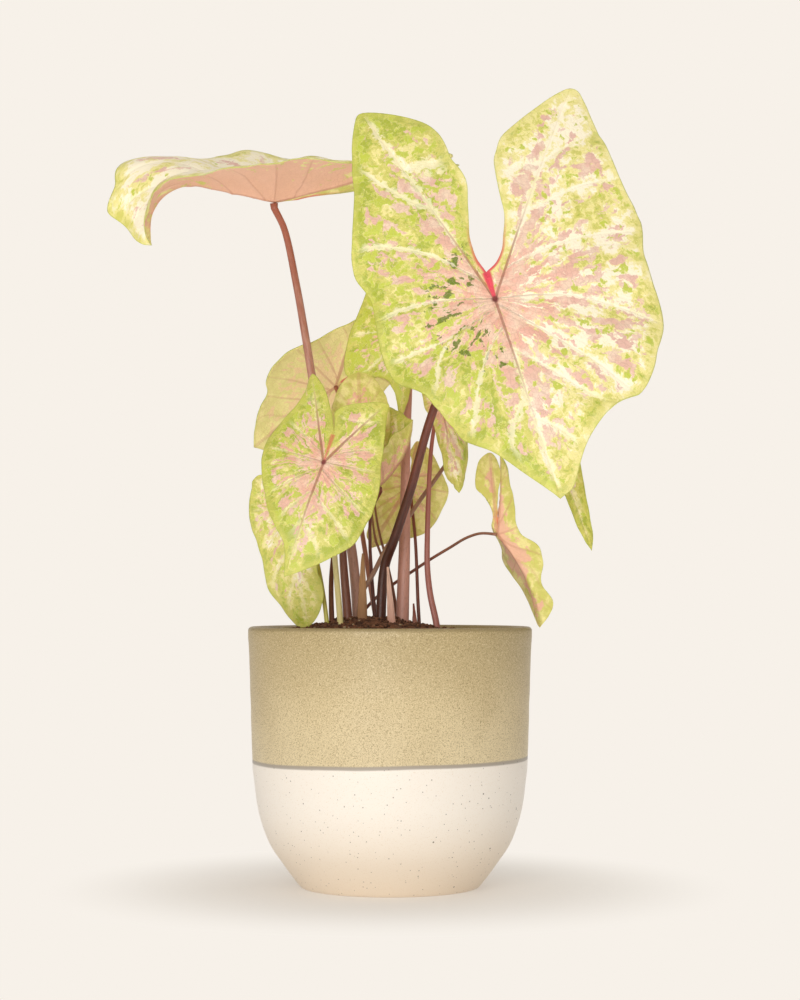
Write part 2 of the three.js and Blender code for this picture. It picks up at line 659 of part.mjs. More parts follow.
// ---------------------------------------------------------------- stalks, spears and sheaths
// A tapered tube from the first point of path to the last. grow thickens it, and reach carries its
// foot on downwards.
function stalkGeometry({ path, topRadius, footRadius, sides = STALK_SIDES }, grow = 0, reach = 0) {
  const curve = new THREE.CatmullRomCurve3(path);
  const steps = Math.max(4, Math.round(curve.getLength() / STALK_STEP));
  const frames = curve.computeFrenetFrames(steps);
  const rings = Array.from({ length: steps + 1 }, (_, step) => {
    const centre = curve.getPointAt(step / steps);
    const radius = topRadius + (footRadius - topRadius) * (step / steps) + grow;
    return Array.from({ length: sides }, (__, side) => {
      const angle = (2 * Math.PI * side) / sides;
      const point = centre.clone().addScaledVector(frames.normals[step], radius * Math.cos(angle));
      return point.addScaledVector(frames.binormals[step], radius * Math.sin(angle));
    });
  });
  if (reach) rings.push(rings[steps].map(({ x, y, z }) => new THREE.Vector3(x, y, z - reach)));

  const triangles = [];
  const last = (rings.length - 1) * sides;
  for (let here = 0; here < last; here += 1) {
    const next = here % sides === sides - 1 ? here + 1 - sides : here + 1;
    triangles.push([here, next, next + sides], [here, next + sides, here + sides]);
  }
  for (let side = 1; side + 1 < sides; side += 1) {
    triangles.push([0, side + 1, side], [last, last + side, last + side + 1]);
  }
  return closedGeometry(rings.flat(), triangles);
}

// The height of a tuber's top above (x, y), taken a little towards its middle.
function crownHeight(tuber, x, y, radius) {
  const [dx, dy] = [x - tuber.x, y - tuber.y];
  const inward = Math.max(0, 1 - radius / Math.max(Math.hypot(dx, dy), 0.1));
  const share = ((dx * inward) / tuber.halfSize[0]) ** 2 + ((dy * inward) / tuber.halfSize[1]) ** 2;
  return tuber.z + tuber.halfSize[2] * Math.sqrt(Math.max(0, 1 - share));
}

// A stalk's whole path: from just under its blade, along path, to just above its tuber.
function fullPath(path, name, footRadius, start = []) {
  const tuber = TUBERS[TUBER_OF.left.includes(name) ? 0 : 1];
  const [x, y] = path[path.length - 1];
  const foot = [tuber.x + (x - tuber.x) * CROWN_PULL, tuber.y + (y - tuber.y) * CROWN_PULL];
  const z = crownHeight(tuber, ...foot, footRadius) + CROWN_GAP;
  return [...start, ...path.map(vector), vector([...foot, z])];
}

function leafStalk(leaf) {
  const { joint, face } = leafFrame(leaf);
  const start = joint.addScaledVector(face, -leaf.under);
  const [topRadius, footRadius] = leaf.stalkWidth;
  return { path: fullPath(leaf.path, leaf.name, footRadius, [start]), topRadius, footRadius };
}

function spearStalk(spear) {
  const [topRadius, footRadius] = spear.width;
  return { path: fullPath(spear.path, spear.name, footRadius), topRadius, footRadius };
}

// A plain hole in the soil round a stalk.
function stalkHole(stalk) {
  return toManifold(stalkGeometry(stalk, GAP, HOLE_REACH));
}

// A narrow tongue, rolled round its own length, that bulges a little and tapers to its tip.
function sheathGeometry({ foot, tip, radius, width }, grow = 0) {
  const start = vector([...foot, SOIL_EDGE - grow]);
  const end = vector(tip);
  const points = [];
  for (let row = 0; row <= SHEATH_ROWS; row += 1) {
    const up = row / SHEATH_ROWS;
    const centre = start.clone().lerp(end, up);
    const bulge = SHEATH_BULGE * radius * Math.sin(Math.PI * up);
    const halfAngle = ((0.5 * width) / radius) * (1 - SHEATH_TAPER * up ** 1.6) + grow / radius;
    for (let column = 0; column <= SHEATH_COLUMNS; column += 1) {
      const angle = halfAngle * ((2 * column) / SHEATH_COLUMNS - 1);
      const back = radius * (1 - Math.cos(angle)) - bulge;
      points.push(centre.clone().add(new THREE.Vector3(radius * Math.sin(angle), back, 0)));
    }
  }
  const triangles = gridTriangles(SHEATH_ROWS + 1, SHEATH_COLUMNS + 1);
  const sheet = sheetOf(points, triangles);
  sheet.computeVertexNormals();
  return thicken({ sheet, triangles }, SHEATH + 2 * grow);
}

// ---------------------------------------------------------------- tubers, soil and pot
// A flattened ball, knobbly unless it is grown to make the hollow that it lies in.
function tuberGeometry(tuber, grow = 0) {
  const bare = new THREE.SphereGeometry(1, 14, 10);
  bare.deleteAttribute("normal");
  bare.deleteAttribute("uv");
  const geometry = mergeVertices(bare, 1e-4);
  const { position } = geometry.attributes;
  for (let i = 0; i < position.count; i += 1) {
    const [x, y, z] = [position.getX(i), position.getY(i), position.getZ(i)];
    const bumps = 0.5 + 0.5 * Math.sin(7 * x + 2) * Math.cos(6 * y) * Math.sin(5 * z + 1);
    const knob = grow ? 1 : 1 - TUBER_KNOBS * bumps;
    const [a, b, c] = tuber.halfSize.map((half) => (half + grow) * knob);
    position.setXYZ(i, tuber.x + a * x, tuber.y + b * y, tuber.z + c * z);
  }
  return geometry;
}

// Radius of the pot's outside at a height: a flat foot, a rounded belly and a wall that flares to the rim.
const OUTSIDE = [
  [0, FOOT_RADIUS], [4.5, 69.6], [12, 75.4], [19.5, 80.8], [27, 86], [34, 90], [41.5, 93.1], [49, 95.5],
  [56, 97.4], [64, 98.8], [78, 100.7], [93, 102], [123, 103], [152, 103.9], [182, 105],
];
function outsideRadius(height) {
  const i = Math.max(1, OUTSIDE.findIndex(([z]) => z >= height));
  const [[z0, r0], [z1, r1]] = [OUTSIDE[i - 1], OUTSIDE[i]];
  return r0 + ((r1 - r0) * (height - z0)) / (z1 - z0);
}

// The inside runs a wall's thickness in, down to a floor with a rounded corner.
const INSIDE_HEIGHTS = [176, 123, 78, 56, 41.5, 27, 19.5];
function insideProfile(gap) {
  const walls = INSIDE_HEIGHTS.map((z) => [outsideRadius(z) - WALL - gap, z]);
  return [...walls, [68 - gap, FLOOR + 3 + gap], [58 - gap, FLOOR + gap], [0, FLOOR + gap]];
}

// A full turn of a profile of [radius, height] points that starts and ends on the axis.
function turnedGeometry(profile) {
  const lathe = new THREE.LatheGeometry(profile.map(([r, z]) => new THREE.Vector2(r, z)), POT_SIDES);
  lathe.rotateX(Math.PI / 2);
  lathe.deleteAttribute("normal");
  lathe.deleteAttribute("uv");
  return mergeVertices(lathe, 1e-4);
}

function potGeometry() {
  const outside = OUTSIDE.map(([z, r]) => [r, z]);
  const lip = [
    [RIM_RADIUS, POT_HEIGHT - 3], [RIM_RADIUS - 1, POT_HEIGHT - 0.8], [RIM_RADIUS - 3, POT_HEIGHT],
    [RIM_RADIUS - 5, POT_HEIGHT - 0.8], [RIM_RADIUS - WALL, POT_HEIGHT - 3],
  ];
  return turnedGeometry([[0, 0], ...outside, ...lip, ...insideProfile(0)]);
}

// The soil fills the pot to below the lip and rises to a low mound round the plant.
function soilHeight(x, y, radius) {
  const { x: mx, y: my, height, spread } = SOIL_MOUND;
  const mound = height * Math.exp(-((x - mx) ** 2 + (y - my) ** 2) / (2 * spread ** 2));
  const lumps = 0.9 * Math.sin(x / 7 + 1) * Math.cos(y / 6) + 0.5 * Math.sin(x / 3.1 - y / 4.3);
  const edge = THREE.MathUtils.smoothstep(RIM_RADIUS - WALL - radius, 0, SOIL_RIM);
  return SOIL_EDGE + (mound + lumps) * edge;
}

function soilBody() {
  const wall = insideProfile(GAP).filter(([, z]) => z < SOIL_EDGE);
  const top = SOIL_RINGS.map((r) => [r, SOIL_EDGE]);
  const edge = [outsideRadius(182) - WALL - GAP - 0.5, SOIL_EDGE];
  const geometry = turnedGeometry([...top, edge, ...wall].reverse());
  const { position } = geometry.attributes;
  for (let i = 0; i < position.count; i += 1) {
    const [x, y, z] = [position.getX(i), position.getY(i), position.getZ(i)];
    if (z > SOIL_EDGE - 0.01) position.setZ(i, soilHeight(x, y, Math.hypot(x, y)));
  }
  return toManifold(geometry);
}

// ---------------------------------------------------------------- the assembly
const plant = new THREE.Group();
const holes = [];

plant.add(piece("pot", potGeometry(), "pot", 0.45));
for (const tuber of TUBERS) {
  plant.add(piece(tuber.name, tuberGeometry(tuber), "tuber", 0.9));
  holes.push(toManifold(tuberGeometry(tuber, TUBER_GAP)));
}
for (const leaf of LEAVES) {
  const stalk = leafStalk(leaf);
  plant.add(piece(`blade_${leaf.name}`, thicken(bladeSheet(leaf), BLADE), leaf.colour));
  plant.add(piece(`stalk_${leaf.name}`, stalkGeometry(stalk), leaf.stalk));
  holes.push(stalkHole(stalk));
}
for (const spear of SPEARS) {
  const stalk = spearStalk(spear);
  plant.add(piece(spear.name, stalkGeometry(stalk), "paleStalk"));
  holes.push(stalkHole(stalk));
}
for (const sheath of SHEATHS) {
  plant.add(piece(sheath.name, sheathGeometry(sheath), sheath.colour, 0.8));
  holes.push(toManifold(sheathGeometry(sheath, GAP)));
}
const soil = holes.reduce((body, hole) => body.subtract(hole), soilBody());
plant.add(piece("soil", fromManifold(soil), "soil", 1));

export default plant;
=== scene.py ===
"""A caladium in its glazed pot: finely waved leaves, stalks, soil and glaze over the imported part."""

import json
import math
import random
from types import SimpleNamespace

import bmesh
import bpy
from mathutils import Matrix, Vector, noise


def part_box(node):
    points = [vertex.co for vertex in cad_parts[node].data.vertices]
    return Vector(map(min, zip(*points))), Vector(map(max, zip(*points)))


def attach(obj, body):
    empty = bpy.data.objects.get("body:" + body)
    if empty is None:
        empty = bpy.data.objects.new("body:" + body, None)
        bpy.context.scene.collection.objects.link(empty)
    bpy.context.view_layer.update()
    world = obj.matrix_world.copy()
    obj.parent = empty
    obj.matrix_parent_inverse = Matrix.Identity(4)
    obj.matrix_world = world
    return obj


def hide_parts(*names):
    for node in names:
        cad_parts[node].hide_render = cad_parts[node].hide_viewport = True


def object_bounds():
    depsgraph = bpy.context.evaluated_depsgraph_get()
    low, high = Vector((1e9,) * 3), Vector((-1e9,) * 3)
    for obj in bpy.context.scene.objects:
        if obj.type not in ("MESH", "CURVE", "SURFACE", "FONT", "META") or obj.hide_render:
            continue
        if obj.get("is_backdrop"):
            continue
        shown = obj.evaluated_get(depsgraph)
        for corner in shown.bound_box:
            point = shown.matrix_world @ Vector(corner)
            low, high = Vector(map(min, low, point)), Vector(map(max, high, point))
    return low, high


bl_info = {
    "name": "Potted Caladium",
    "version": (1, 0, 0),
    "blender": (4, 5, 0),
    "location": "View3D > Sidebar > Caladium",
    "description": "Dresses a caladium and its pot with waved, patterned leaves, stalks, soil and glaze",
    "category": "Add Mesh",
}

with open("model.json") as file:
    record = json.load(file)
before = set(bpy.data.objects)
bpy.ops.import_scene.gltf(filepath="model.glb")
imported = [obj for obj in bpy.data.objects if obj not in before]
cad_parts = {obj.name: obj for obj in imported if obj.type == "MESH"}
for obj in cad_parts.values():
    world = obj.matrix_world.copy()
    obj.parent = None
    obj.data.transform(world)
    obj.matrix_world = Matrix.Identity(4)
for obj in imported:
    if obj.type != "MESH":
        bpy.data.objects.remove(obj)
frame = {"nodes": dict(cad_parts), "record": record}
CAD_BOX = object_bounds()
_, POT_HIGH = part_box("pot")
# the material slot of each CAD node
SLOTS = {part["node"]: part["material_slot"] for part in frame["record"]["subparts"]}
MM = 0.001

# ---------------------------------------------------------------- the leaves
# Lengths are in millimetres and angles in degrees. joint is where the stalk meets the blade. The flat
# outline is measured from it: first along the midrib towards the tip, then across it to the left
# half. A third number lifts the edge off the sheet. tip and face are the ways that the midrib and the
# upper side look at the joint. An arc is (straight length, turn away from the upper side). fold and
# curl are given at the lobe, the joint and the tip. waves are (height, count, phase) of the edge.
# lobe_lean tilts the lobes at once, and sway bends the midrib to one side. The stalk starts under
# millimetres below the blade and follows path down into the soil.
LEAVES = [
    dict(
        name="front", joint=(75, -85, 426), tip=(0.27, -0.33, -0.9), face=(-0.07, -0.94, 0.32),
        tip_length=160, lobe_length=178, half_width=105, curl_from=10,
        tip_arc=(40, 18), lobe_arc=(30, 10), waves=(2.2, 7, 0.1), sinus=(-22, 0), tip_end=(155, -1),
        left=dict(
            fold=(-4, 2, 4), curl=(4, 10, 16), lobe=(-180.6, 49.3), shoulder=(4, 88),
            wall=[(-34, 3), (-50, 4), (-73.3, -1.4), (-99, -7.5), (-123.2, -2.4), (-148, 0), (-164.8, 13.8)],
            flank=[(-167, 60), (-140, 68), (-110.9, 74.4), (-79.5, 84.4), (-52, 91.1), (-29, 85), (-14, 86)],
            lower=[
                (24, 89), (39, 84), (50, 71), (63.6, 64.3), (82, 57), (96, 51), (108.6, 36.4), (127.3, 20.7),
                (143, 8),
            ],
        ),
        right=dict(
            fold=(2, 2, 2), curl=(12, 12, 14), lobe=(-163, -106.3), shoulder=(12.7, -114.7),
            wall=[
                (-28.7, -10.4), (-42.4, -18), (-65, -26), (-90.2, -28.5), (-114, -33), (-133.3, -46.4),
                (-152.8, -79.8),
            ],
            flank=[
                (-150, -114), (-124, -116), (-105.4, -116.8), (-73.5, -117.4), (-46.1, -121.9), (-29, -122),
                (-9.5, -115),
            ],
            lower=[
                (32, -114.9), (50.8, -111.3), (70.6, -99.2), (88.2, -88.8), (97.2, -78.1), (99, -64),
                (107, -47), (126.1, -26.9), (148, -14),
            ],
        ),
        stalk_width=(2.7, 3.8), under=2.6,
        path=[(65, -66, 410), (34, -50, 355), (15, -34, 292), (3, -25, 256), (-4, -18, 236), (-7, -16, 191)],
    ),
    dict(
        name="top", joint=(-90, 60, 520), tip=(-0.97, -0.06, 0.21), face=(0.22, -0.31, 0.92),
        tip_length=136, lobe_length=150, half_width=84, curl_from=8,
        tip_arc=(56, 128), lobe_arc=(0, -4), lobe_lean=-18,
        waves=(0.8, 5, 0.3), sinus=(-18, 0), tip_end=(132, 0),
        left=dict(
            fold=(-22, -24, -30), curl=(0, 0, -10), lobe=(-146, 30, -6), shoulder=(-7, 82, -12),
            wall=[(-34, 3), (-66, 4), (-104, 8)],
            flank=[(-116, 60, -22), (-76, 78, -26), (-31, 82, -14)],
            lower=[
                (28, 82, -14), (47, 80, -27), (67, 77, -35), (86, 72, -17.4), (97.7, 62.9, 11),
                (105.7, 48.5, 13), (115.4, 46.6, 15), (120.3, 29, 8), (128.7, 8.8, 6),
            ],
        ),
        right=dict(
            fold=(-44, -48, -12), curl=(42, 46, 20), lobe=(-142, -34), shoulder=(-8, -80, 4.5),
            wall=[(-34, -3), (-66, -5), (-104, -12)],
            flank=[(-116, -62), (-65, -78, -3.3), (-35, -82, 3)],
            lower=[
                (12, -78, 2.8), (25, -76, -0.5), (42, -72, -1.2), (61, -66, -6.3), (79, -56, -6.1),
                (99, -41, -10.3), (111, -29, -6.5), (124, -14, -3.8),
            ],
        ),
        stalk_width=(2.5, 4), under=3,
        path=[
            (-82, 55, 498), (-72, 42, 453), (-64, 27, 409), (-58, 21, 374), (-42, 12, 306), (-29, 9, 250),
            (-24, 14, 191),
        ],
    ),
    dict(
        name="left_front", joint=(-47, -80, 310), tip=(-0.3, -0.3, -0.9), face=(-0.06, -0.94, 0.33),
        tip_length=96, lobe_length=70, half_width=50, curl_from=6,
        tip_arc=(20, 24), lobe_arc=(20, 8), waves=(1.3, 5, 0.2), sinus=(-22, -1), tip_end=(88, 2),
        left=dict(
            fold=(10, 7, 4), curl=(20, 18, 16), lobe=(-70, 34), shoulder=(-12, 49),
            wall=[(-31, 3), (-42, 9), (-57, 19)],
            flank=[(-54, 34), (-40, 35), (-27, 42)],
            lower=[(6, 47), (25, 39), (41, 31), (54, 20), (66, 9), (77, 5)],
        ),
        right=dict(
            fold=(6, 5, 4), curl=(10, 10, 10), lobe=(-59, -29), shoulder=(-11, -40),
            wall=[(-32, 2), (-42, 4), (-52, -12)],
            flank=[(-48, -32), (-36, -35), (-23, -38)],
            lower=[(2, -43), (21, -45), (35, -43), (53, -39), (66, -26), (79, -11)],
        ),
        stalk_width=(1.5, 2.4), under=2.6,
        path=[(-44, -62, 294), (-42, -48, 270), (-40, -40, 243), (-36, -32, 191)],
    ),
    dict(
        name="left_back", joint=(-43, 80, 378), tip=(-0.81, 0.1, -0.58), face=(-0.28, 0.8, 0.53),
        tip_length=76, lobe_length=70, half_width=55, curl_from=4,
        tip_arc=(20, 20), lobe_arc=(20, 10), waves=(1.3, 5, 0.4), sinus=(-8, 0), tip_end=(80, -6),
        left=dict(
            fold=(4, 4, 4), curl=(16, 16, 16), lobe=(-46, 16), shoulder=(3, 34),
            wall=[(-13, 4), (-23, 7), (-37, 10)],
            flank=[(-38, 25), (-30, 27), (-16, 32)],
            lower=[(20, 33), (36, 30), (50, 24), (63, 16), (71, 8), (75, 3)],
        ),
        right=dict(
            fold=(8, 6, 4), curl=(20, 18, 16), lobe=(-49, -47), shoulder=(-1.4, -57.6),
            wall=[(-15, -1), (-28, -9), (-42, -23)],
            flank=[(-37, -48), (-25.2, -51.6), (-11.5, -55.5)],
            lower=[(14.2, -60.6), (28.5, -59), (39.9, -47.5), (44.8, -36.2), (56.5, -31.2), (70.7, -17.3)],
        ),
        stalk_width=(1.5, 2), under=2.8,
        path=[(-40, 71, 369), (-38, 66, 357), (-31, 54, 315), (-22, 38, 266), (-15, 25, 223), (-10, 18, 191)],
    ),
    dict(
        name="middle", joint=(13, 0, 413), tip=(-0.08, -0.18, -0.98), face=(-0.06, -0.98, 0.18),
        tip_length=66, lobe_length=55, half_width=50, curl_from=4,
        tip_arc=(20, 10), lobe_arc=(10, 20), waves=(1, 5, 0.1), sinus=(-9, 0), tip_end=(67, 0),
        left=dict(
            fold=(8, 11, 14), curl=(16, 16, 16), lobe=(-44, 19), shoulder=(-8, 44),
            wall=[(-20, 5), (-32, 10)],
            flank=[(-39, 32), (-26, 37)],
            lower=[
                (10, 48), (29, 49), (36, 44), (36, 35), (37, 27), (36, 20), (38, 14), (43, 9), (52, 5),
                (62, 2),
            ],
        ),
        right=dict(
            fold=(10, 35, 60), curl=(20, 20, 20), lobe=(-47, -13), shoulder=(-19, -41),
            wall=[(-20, -2), (-33, -5)],
            flank=[(-42, -25), (-32, -34)],
            lower=[
                (-5, -41), (6, -39), (16, -33), (23, -26), (28, -18), (33, -12), (40, -9), (48, -7), (56, -6),
                (62, -4),
            ],
        ),
        stalk_width=(2.2, 5.2), under=4,
        path=[(15, 7, 397), (14, 8, 373), (12, 8, 324), (11, 8, 257), (9, 6, 191)],
    ),
    dict(
        name="left_low", joint=(-73, -32, 280), tip=(0.15, 0.02, -0.99), face=(-0.29, -0.95, -0.06),
        tip_length=92, lobe_length=34, half_width=40, curl_from=4,
        tip_arc=(20, 14), lobe_arc=(10, 10), waves=(1.2, 4, 0.6), sinus=(-7, -2), tip_end=(91, 3),
        left=dict(
            fold=(6, 6, 6), curl=(20, 20, 20), lobe=(-27, 18), shoulder=(-8.1, 34.3),
            wall=[(-14, 2), (-21, 7)],
            flank=[(-25.2, 28.3), (-17, 31)],
            lower=[(6.3, 39), (22.2, 33.2), (36, 30), (57.9, 31.6), (72.6, 21.2), (87.1, 12.7)],
        ),
        right=dict(
            fold=(6, 6, 6), curl=(16, 16, 16), lobe=(-20, -27), shoulder=(11, -32),
            wall=[(-13, -9), (-18, -16)],
            flank=[(-12, -33), (-1, -35)],
            lower=[(23, -26), (37, -17), (49, -13), (60, -14), (71, -13), (82, -6)],
        ),
        stalk_width=(1.1, 1.8), under=2.2,
        path=[(-66, -20, 266), (-58, -16, 252), (-53, -16, 237), (-46, -20, 191)],
    ),
    dict(
        name="right_back", joint=(115, 20, 356), tip=(0.36, -0.16, -0.92), face=(-0.11, -0.99, 0.13),
        tip_length=112, lobe_length=42, half_width=38, curl_from=4,
        tip_arc=(30, -10), lobe_arc=(10, 10), waves=(1.2, 4, 0), sinus=(-9, -2), tip_end=(117, 7),
        left=dict(
            fold=(-6, -13, -20), curl=(10, 5, 0), lobe=(-37, 3), shoulder=(-8, 25),
            wall=[(-18, -1), (-27, -1)],
            flank=[(-34, 13), (-23, 21)],
            lower=[(10, 24), (30, 20), (49, 13), (68, 10), (86, 10), (105, 9)],
        ),
        right=dict(
            fold=(-6, -13, -20), curl=(10, 5, 0), lobe=(-26, -27), shoulder=(9, -30),
            wall=[(-16, -10), (-22, -17)],
            flank=[(-17, -33), (-4, -33)],
            lower=[(23, -24), (36, -16), (50, -11), (68, -7), (88, -3), (105, 1)],
        ),
        stalk_width=(1.3, 1.9), under=2.4,
        path=[
            (104, 34, 361), (88, 42, 363), (66, 46, 347), (49, 42, 325), (39, 36, 310), (24, 28, 289),
            (11, 18, 270), (2, 9, 258), (-5, -1, 246), (-13, -8, 230), (-20, -10, 218), (-24, -8, 191),
        ],
    ),
    dict(
        name="right_low", joint=(79, -20, 260), tip=(0.4, -0.1, -0.91), face=(0.33, 0.94, 0.04),
        tip_length=76, lobe_length=62, half_width=32, curl_from=3,
        tip_arc=(20, -24), lobe_arc=(10, -20), sway=7, waves=(0.8, 4, 0.5), sinus=(-9, 4), tip_end=(78, -6),
        left=dict(
            fold=(10, -14, -10), curl=(20, 30, 30), lobe=(-50, 28), shoulder=(-3.8, 17.3),
            wall=[(-17, 10), (-28, 17), (-39, 23)],
            flank=[(-41, 30), (-31, 25), (-18.7, 22.8)],
            lower=[(9, 15), (20, 19), (33, 16), (46, 8), (61.5, 11.9), (70.5, 7.4)],
        ),
        right=dict(
            fold=(20, -66, -50), curl=(0, 0, 0), lobe=(-56.7, 20.6), shoulder=(-17, 4.4),
            wall=[(-17, 8), (-29, 14), (-42, 22)],
            flank=[(-54.6, 8), (-40.2, -1.6), (-29.5, 3)],
            lower=[(-3, -5), (8, -24), (16, -42), (32.1, -32.4), (45.8, -21.7), (62.2, -13.5)],
        ),
        stalk_width=(1, 1.3), under=2,
        path=[
            (67, -8, 261), (57, 4, 258), (45, 22, 251), (30, 30, 242), (15, 33, 232), (3, 32, 224),
            (-14, 30, 210), (-29, 32, 190),
        ],
    ),
    dict(
        name="centre_low", joint=(15, 42, 300), tip=(-0.42, -0.18, -0.89), face=(0.02, 0.98, -0.21),
        tip_length=58, lobe_length=34, half_width=36, curl_from=4,
        tip_arc=(14, -10), lobe_arc=(10, -10), waves=(1, 4, 0.2), sinus=(-8, -3), tip_end=(57, -6),
        left=dict(
            fold=(-4, -4, -4), curl=(-20, -20, -20), lobe=(-35, -10), shoulder=(-10, 28),
            wall=[(-17, -7), (-25, -11)],
            flank=[(-31, 2), (-20, 18)],
            lower=[(5, 31), (27, 28), (44, 10)],
        ),
        right=dict(
            fold=(-10, -7, -4), curl=(-20, -20, -20), lobe=(-27, -29), shoulder=(14, -26),
            wall=[(-15, -11), (-23, -19)],
            flank=[(-16, -34), (-1, -31)],
            lower=[(28, -21), (40, -17), (50, -13)],
        ),
        stalk_width=(1.1, 1.4), under=2.2,
        path=[(16, 38, 288), (19, 32, 257), (21, 25, 210), (22, 23, 191)],
    ),
    dict(
        name="right_inner", joint=(38, 14, 364), tip=(0.18, -0.16, -0.97), face=(-0.25, -0.96, 0.11),
        tip_length=74, lobe_length=28, half_width=28, curl_from=4,
        tip_arc=(20, 10), lobe_arc=(6, 10), waves=(0.8, 4, 0.3), sinus=(-7, -2), tip_end=(74, 1),
        left=dict(
            fold=(4, 12, 20), curl=(20, 25, 30), lobe=(-26, 7), shoulder=(6, 14),
            wall=[(-14, 0), (-21, 3)],
            flank=[(-22, 13), (-9, 15)],
            lower=[(19, 10), (33, 10), (45, 8), (56, 9), (64, 7), (68, 4)],
        ),
        right=dict(
            fold=(10, 35, 60), curl=(20, 35, 50), lobe=(-21, -18), shoulder=(7, -33),
            wall=[(-13, -7), (-18, -13)],
            flank=[(-14, -24), (-4, -30)],
            lower=[(19, -28), (34, -22), (45, -18), (55, -13), (63, -9), (70, -4)],
        ),
        stalk_width=(1.3, 2.6), under=2.8,
        path=[(35, 20, 351), (31, 23, 325), (28, 22, 257), (28, 20, 236), (30, 16, 216), (35, 14, 191)],
    ),
    dict(
        name="young_standing", joint=(-20, -32, 329), tip=(-0.08, 0.02, 1), face=(0.05, 1, -0.02),
        tip_length=58, lobe_length=34, half_width=30, curl_from=2,
        tip_arc=(14, -50), lobe_arc=(10, 10), waves=(0.5, 3, 0), sinus=(-6, 0), tip_end=(57, 0),
        left=dict(
            fold=(0, 0, 0), curl=(-30, -35, -40), lobe=(-23, 10), shoulder=(3, 21),
            wall=[(-11, 3), (-17, 6)],
            flank=[(-19, 16), (-9, 19)],
            lower=[(13, 22), (24, 22), (35, 19), (45, 14), (52, 8)],
        ),
        right=dict(
            fold=(0, 0, 0), curl=(-30, -35, -40), lobe=(-23, -10), shoulder=(3, -21),
            wall=[(-11, -3), (-17, -6)],
            flank=[(-19, -16), (-9, -19)],
            lower=[(13, -22), (24, -22), (35, -19), (45, -14), (52, -8)],
        ),
        stalk_width=(1.5, 3.8), under=2.4,
        path=[
            (-21, -35, 318), (-25, -33, 303), (-31, -21, 285), (-35, -8, 262), (-35, -3, 244), (-31, -2, 191),
        ],
    ),
    dict(
        name="young_folded", joint=(-8, -31, 295), tip=(0.74, -0.1, 0.66), face=(-0.67, 0, 0.75),
        tip_length=56, lobe_length=20, half_width=30, curl_from=2,
        tip_arc=(2, -44), lobe_arc=(6, 10), waves=(0.4, 3, 0), sinus=(-6, 0), tip_end=(56, 0),
        left=dict(
            fold=(-55, -60, -60), curl=(-8, -8, -8), lobe=(-19, 10), shoulder=(2, 24),
            wall=[(-10, 3), (-15, 6)],
            flank=[(-16, 16), (-8, 21)],
            lower=[(12, 25), (30, 22, -16), (39, 18, -9), (47, 10, -4)],
        ),
        right=dict(
            fold=(-50, -55, -55), curl=(0, 0, 0), lobe=(-19, -10), shoulder=(2, -31),
            wall=[(-10, -3), (-15, -6)],
            flank=[(-16, -18), (-8, -26)],
            lower=[(12, -35), (64, -36, -13), (63, -28, -16), (58, -14, -9)],
        ),
        stalk_width=(1.1, 1.5), under=2.6,
        path=[(-14, -10, 277), (-15, 0, 253), (-14, 4, 233), (-11, 6, 191)],
    ),
    dict(
        name="small_back", joint=(-39, 35, 308), tip=(-0.45, 0.1, -0.89), face=(0, 0.95, 0.3),
        tip_length=62, lobe_length=28, half_width=30, curl_from=3,
        tip_arc=(14, 16), lobe_arc=(6, 10), waves=(0.8, 4, 0.7), sinus=(-8, 0), tip_end=(62, 0),
        left=dict(
            fold=(-4, -4, -4), curl=(20, 20, 20), lobe=(-28, 14), shoulder=(5, 28),
            wall=[(-15, 4), (-22, 8)],
            flank=[(-22, 22), (-9, 27)],
            lower=[(18, 26), (31, 22), (42, 16), (52, 8)],
        ),
        right=dict(
            fold=(-4, -4, -4), curl=(20, 20, 20), lobe=(-28, -14), shoulder=(5, -28),
            wall=[(-15, -4), (-22, -8)],
            flank=[(-22, -21), (-9, -26)],
            lower=[(18, -27), (31, -22), (42, -15), (52, -8)],
        ),
        stalk_width=(1.1, 2.2), under=2.4,
        path=[(-40, 32, 289), (-42, 22, 257), (-44, 6, 226), (-43, -8, 191)],
    ),
]

SPEARS = [
    dict(
        name="spear_short", width=(0.5, 1.6),
        path=[(-18, 5, 309), (-14, 12, 278), (-11, 16, 257), (-7, 18, 246), (-2, 20, 223), (1, 20, 191)],
    ),
    dict(
        name="spear_tall", width=(0.5, 1.6),
        path=[(-14, 20, 321), (-11, 24, 278), (-7, 26, 257), (-5, 27, 250), (2, 29, 219), (6, 30, 191)],
    ),
]

SHEATHS = [
    dict(name="sheath_brown", foot=(-20.5, -20), tip=(-20, -19, 246), radius=5, width=9),
    dict(name="sheath_pink", foot=(2.5, -25.5), tip=(-1.6, -24.5, 236), radius=4.5, width=7),
    dict(name="sheath_small", foot=(19.5, 11), tip=(17.6, 11, 209), radius=4, width=5.4),
]

LEAN_REACH = 40  # over how many millimetres a lean at the joint is taken up again
LOBE_VEIN = 0.84  # how far the vein of a lobe reaches, as a share of the way to its end
MIDRIB = 0.88  # how far the rows of a blade stand along its midrib
WAVE_GROWTH = 2.2  # power by which the waves grow from the vein to the edge
EDGE_WANDER = 0.9  # how far the fine unevenness of an edge goes

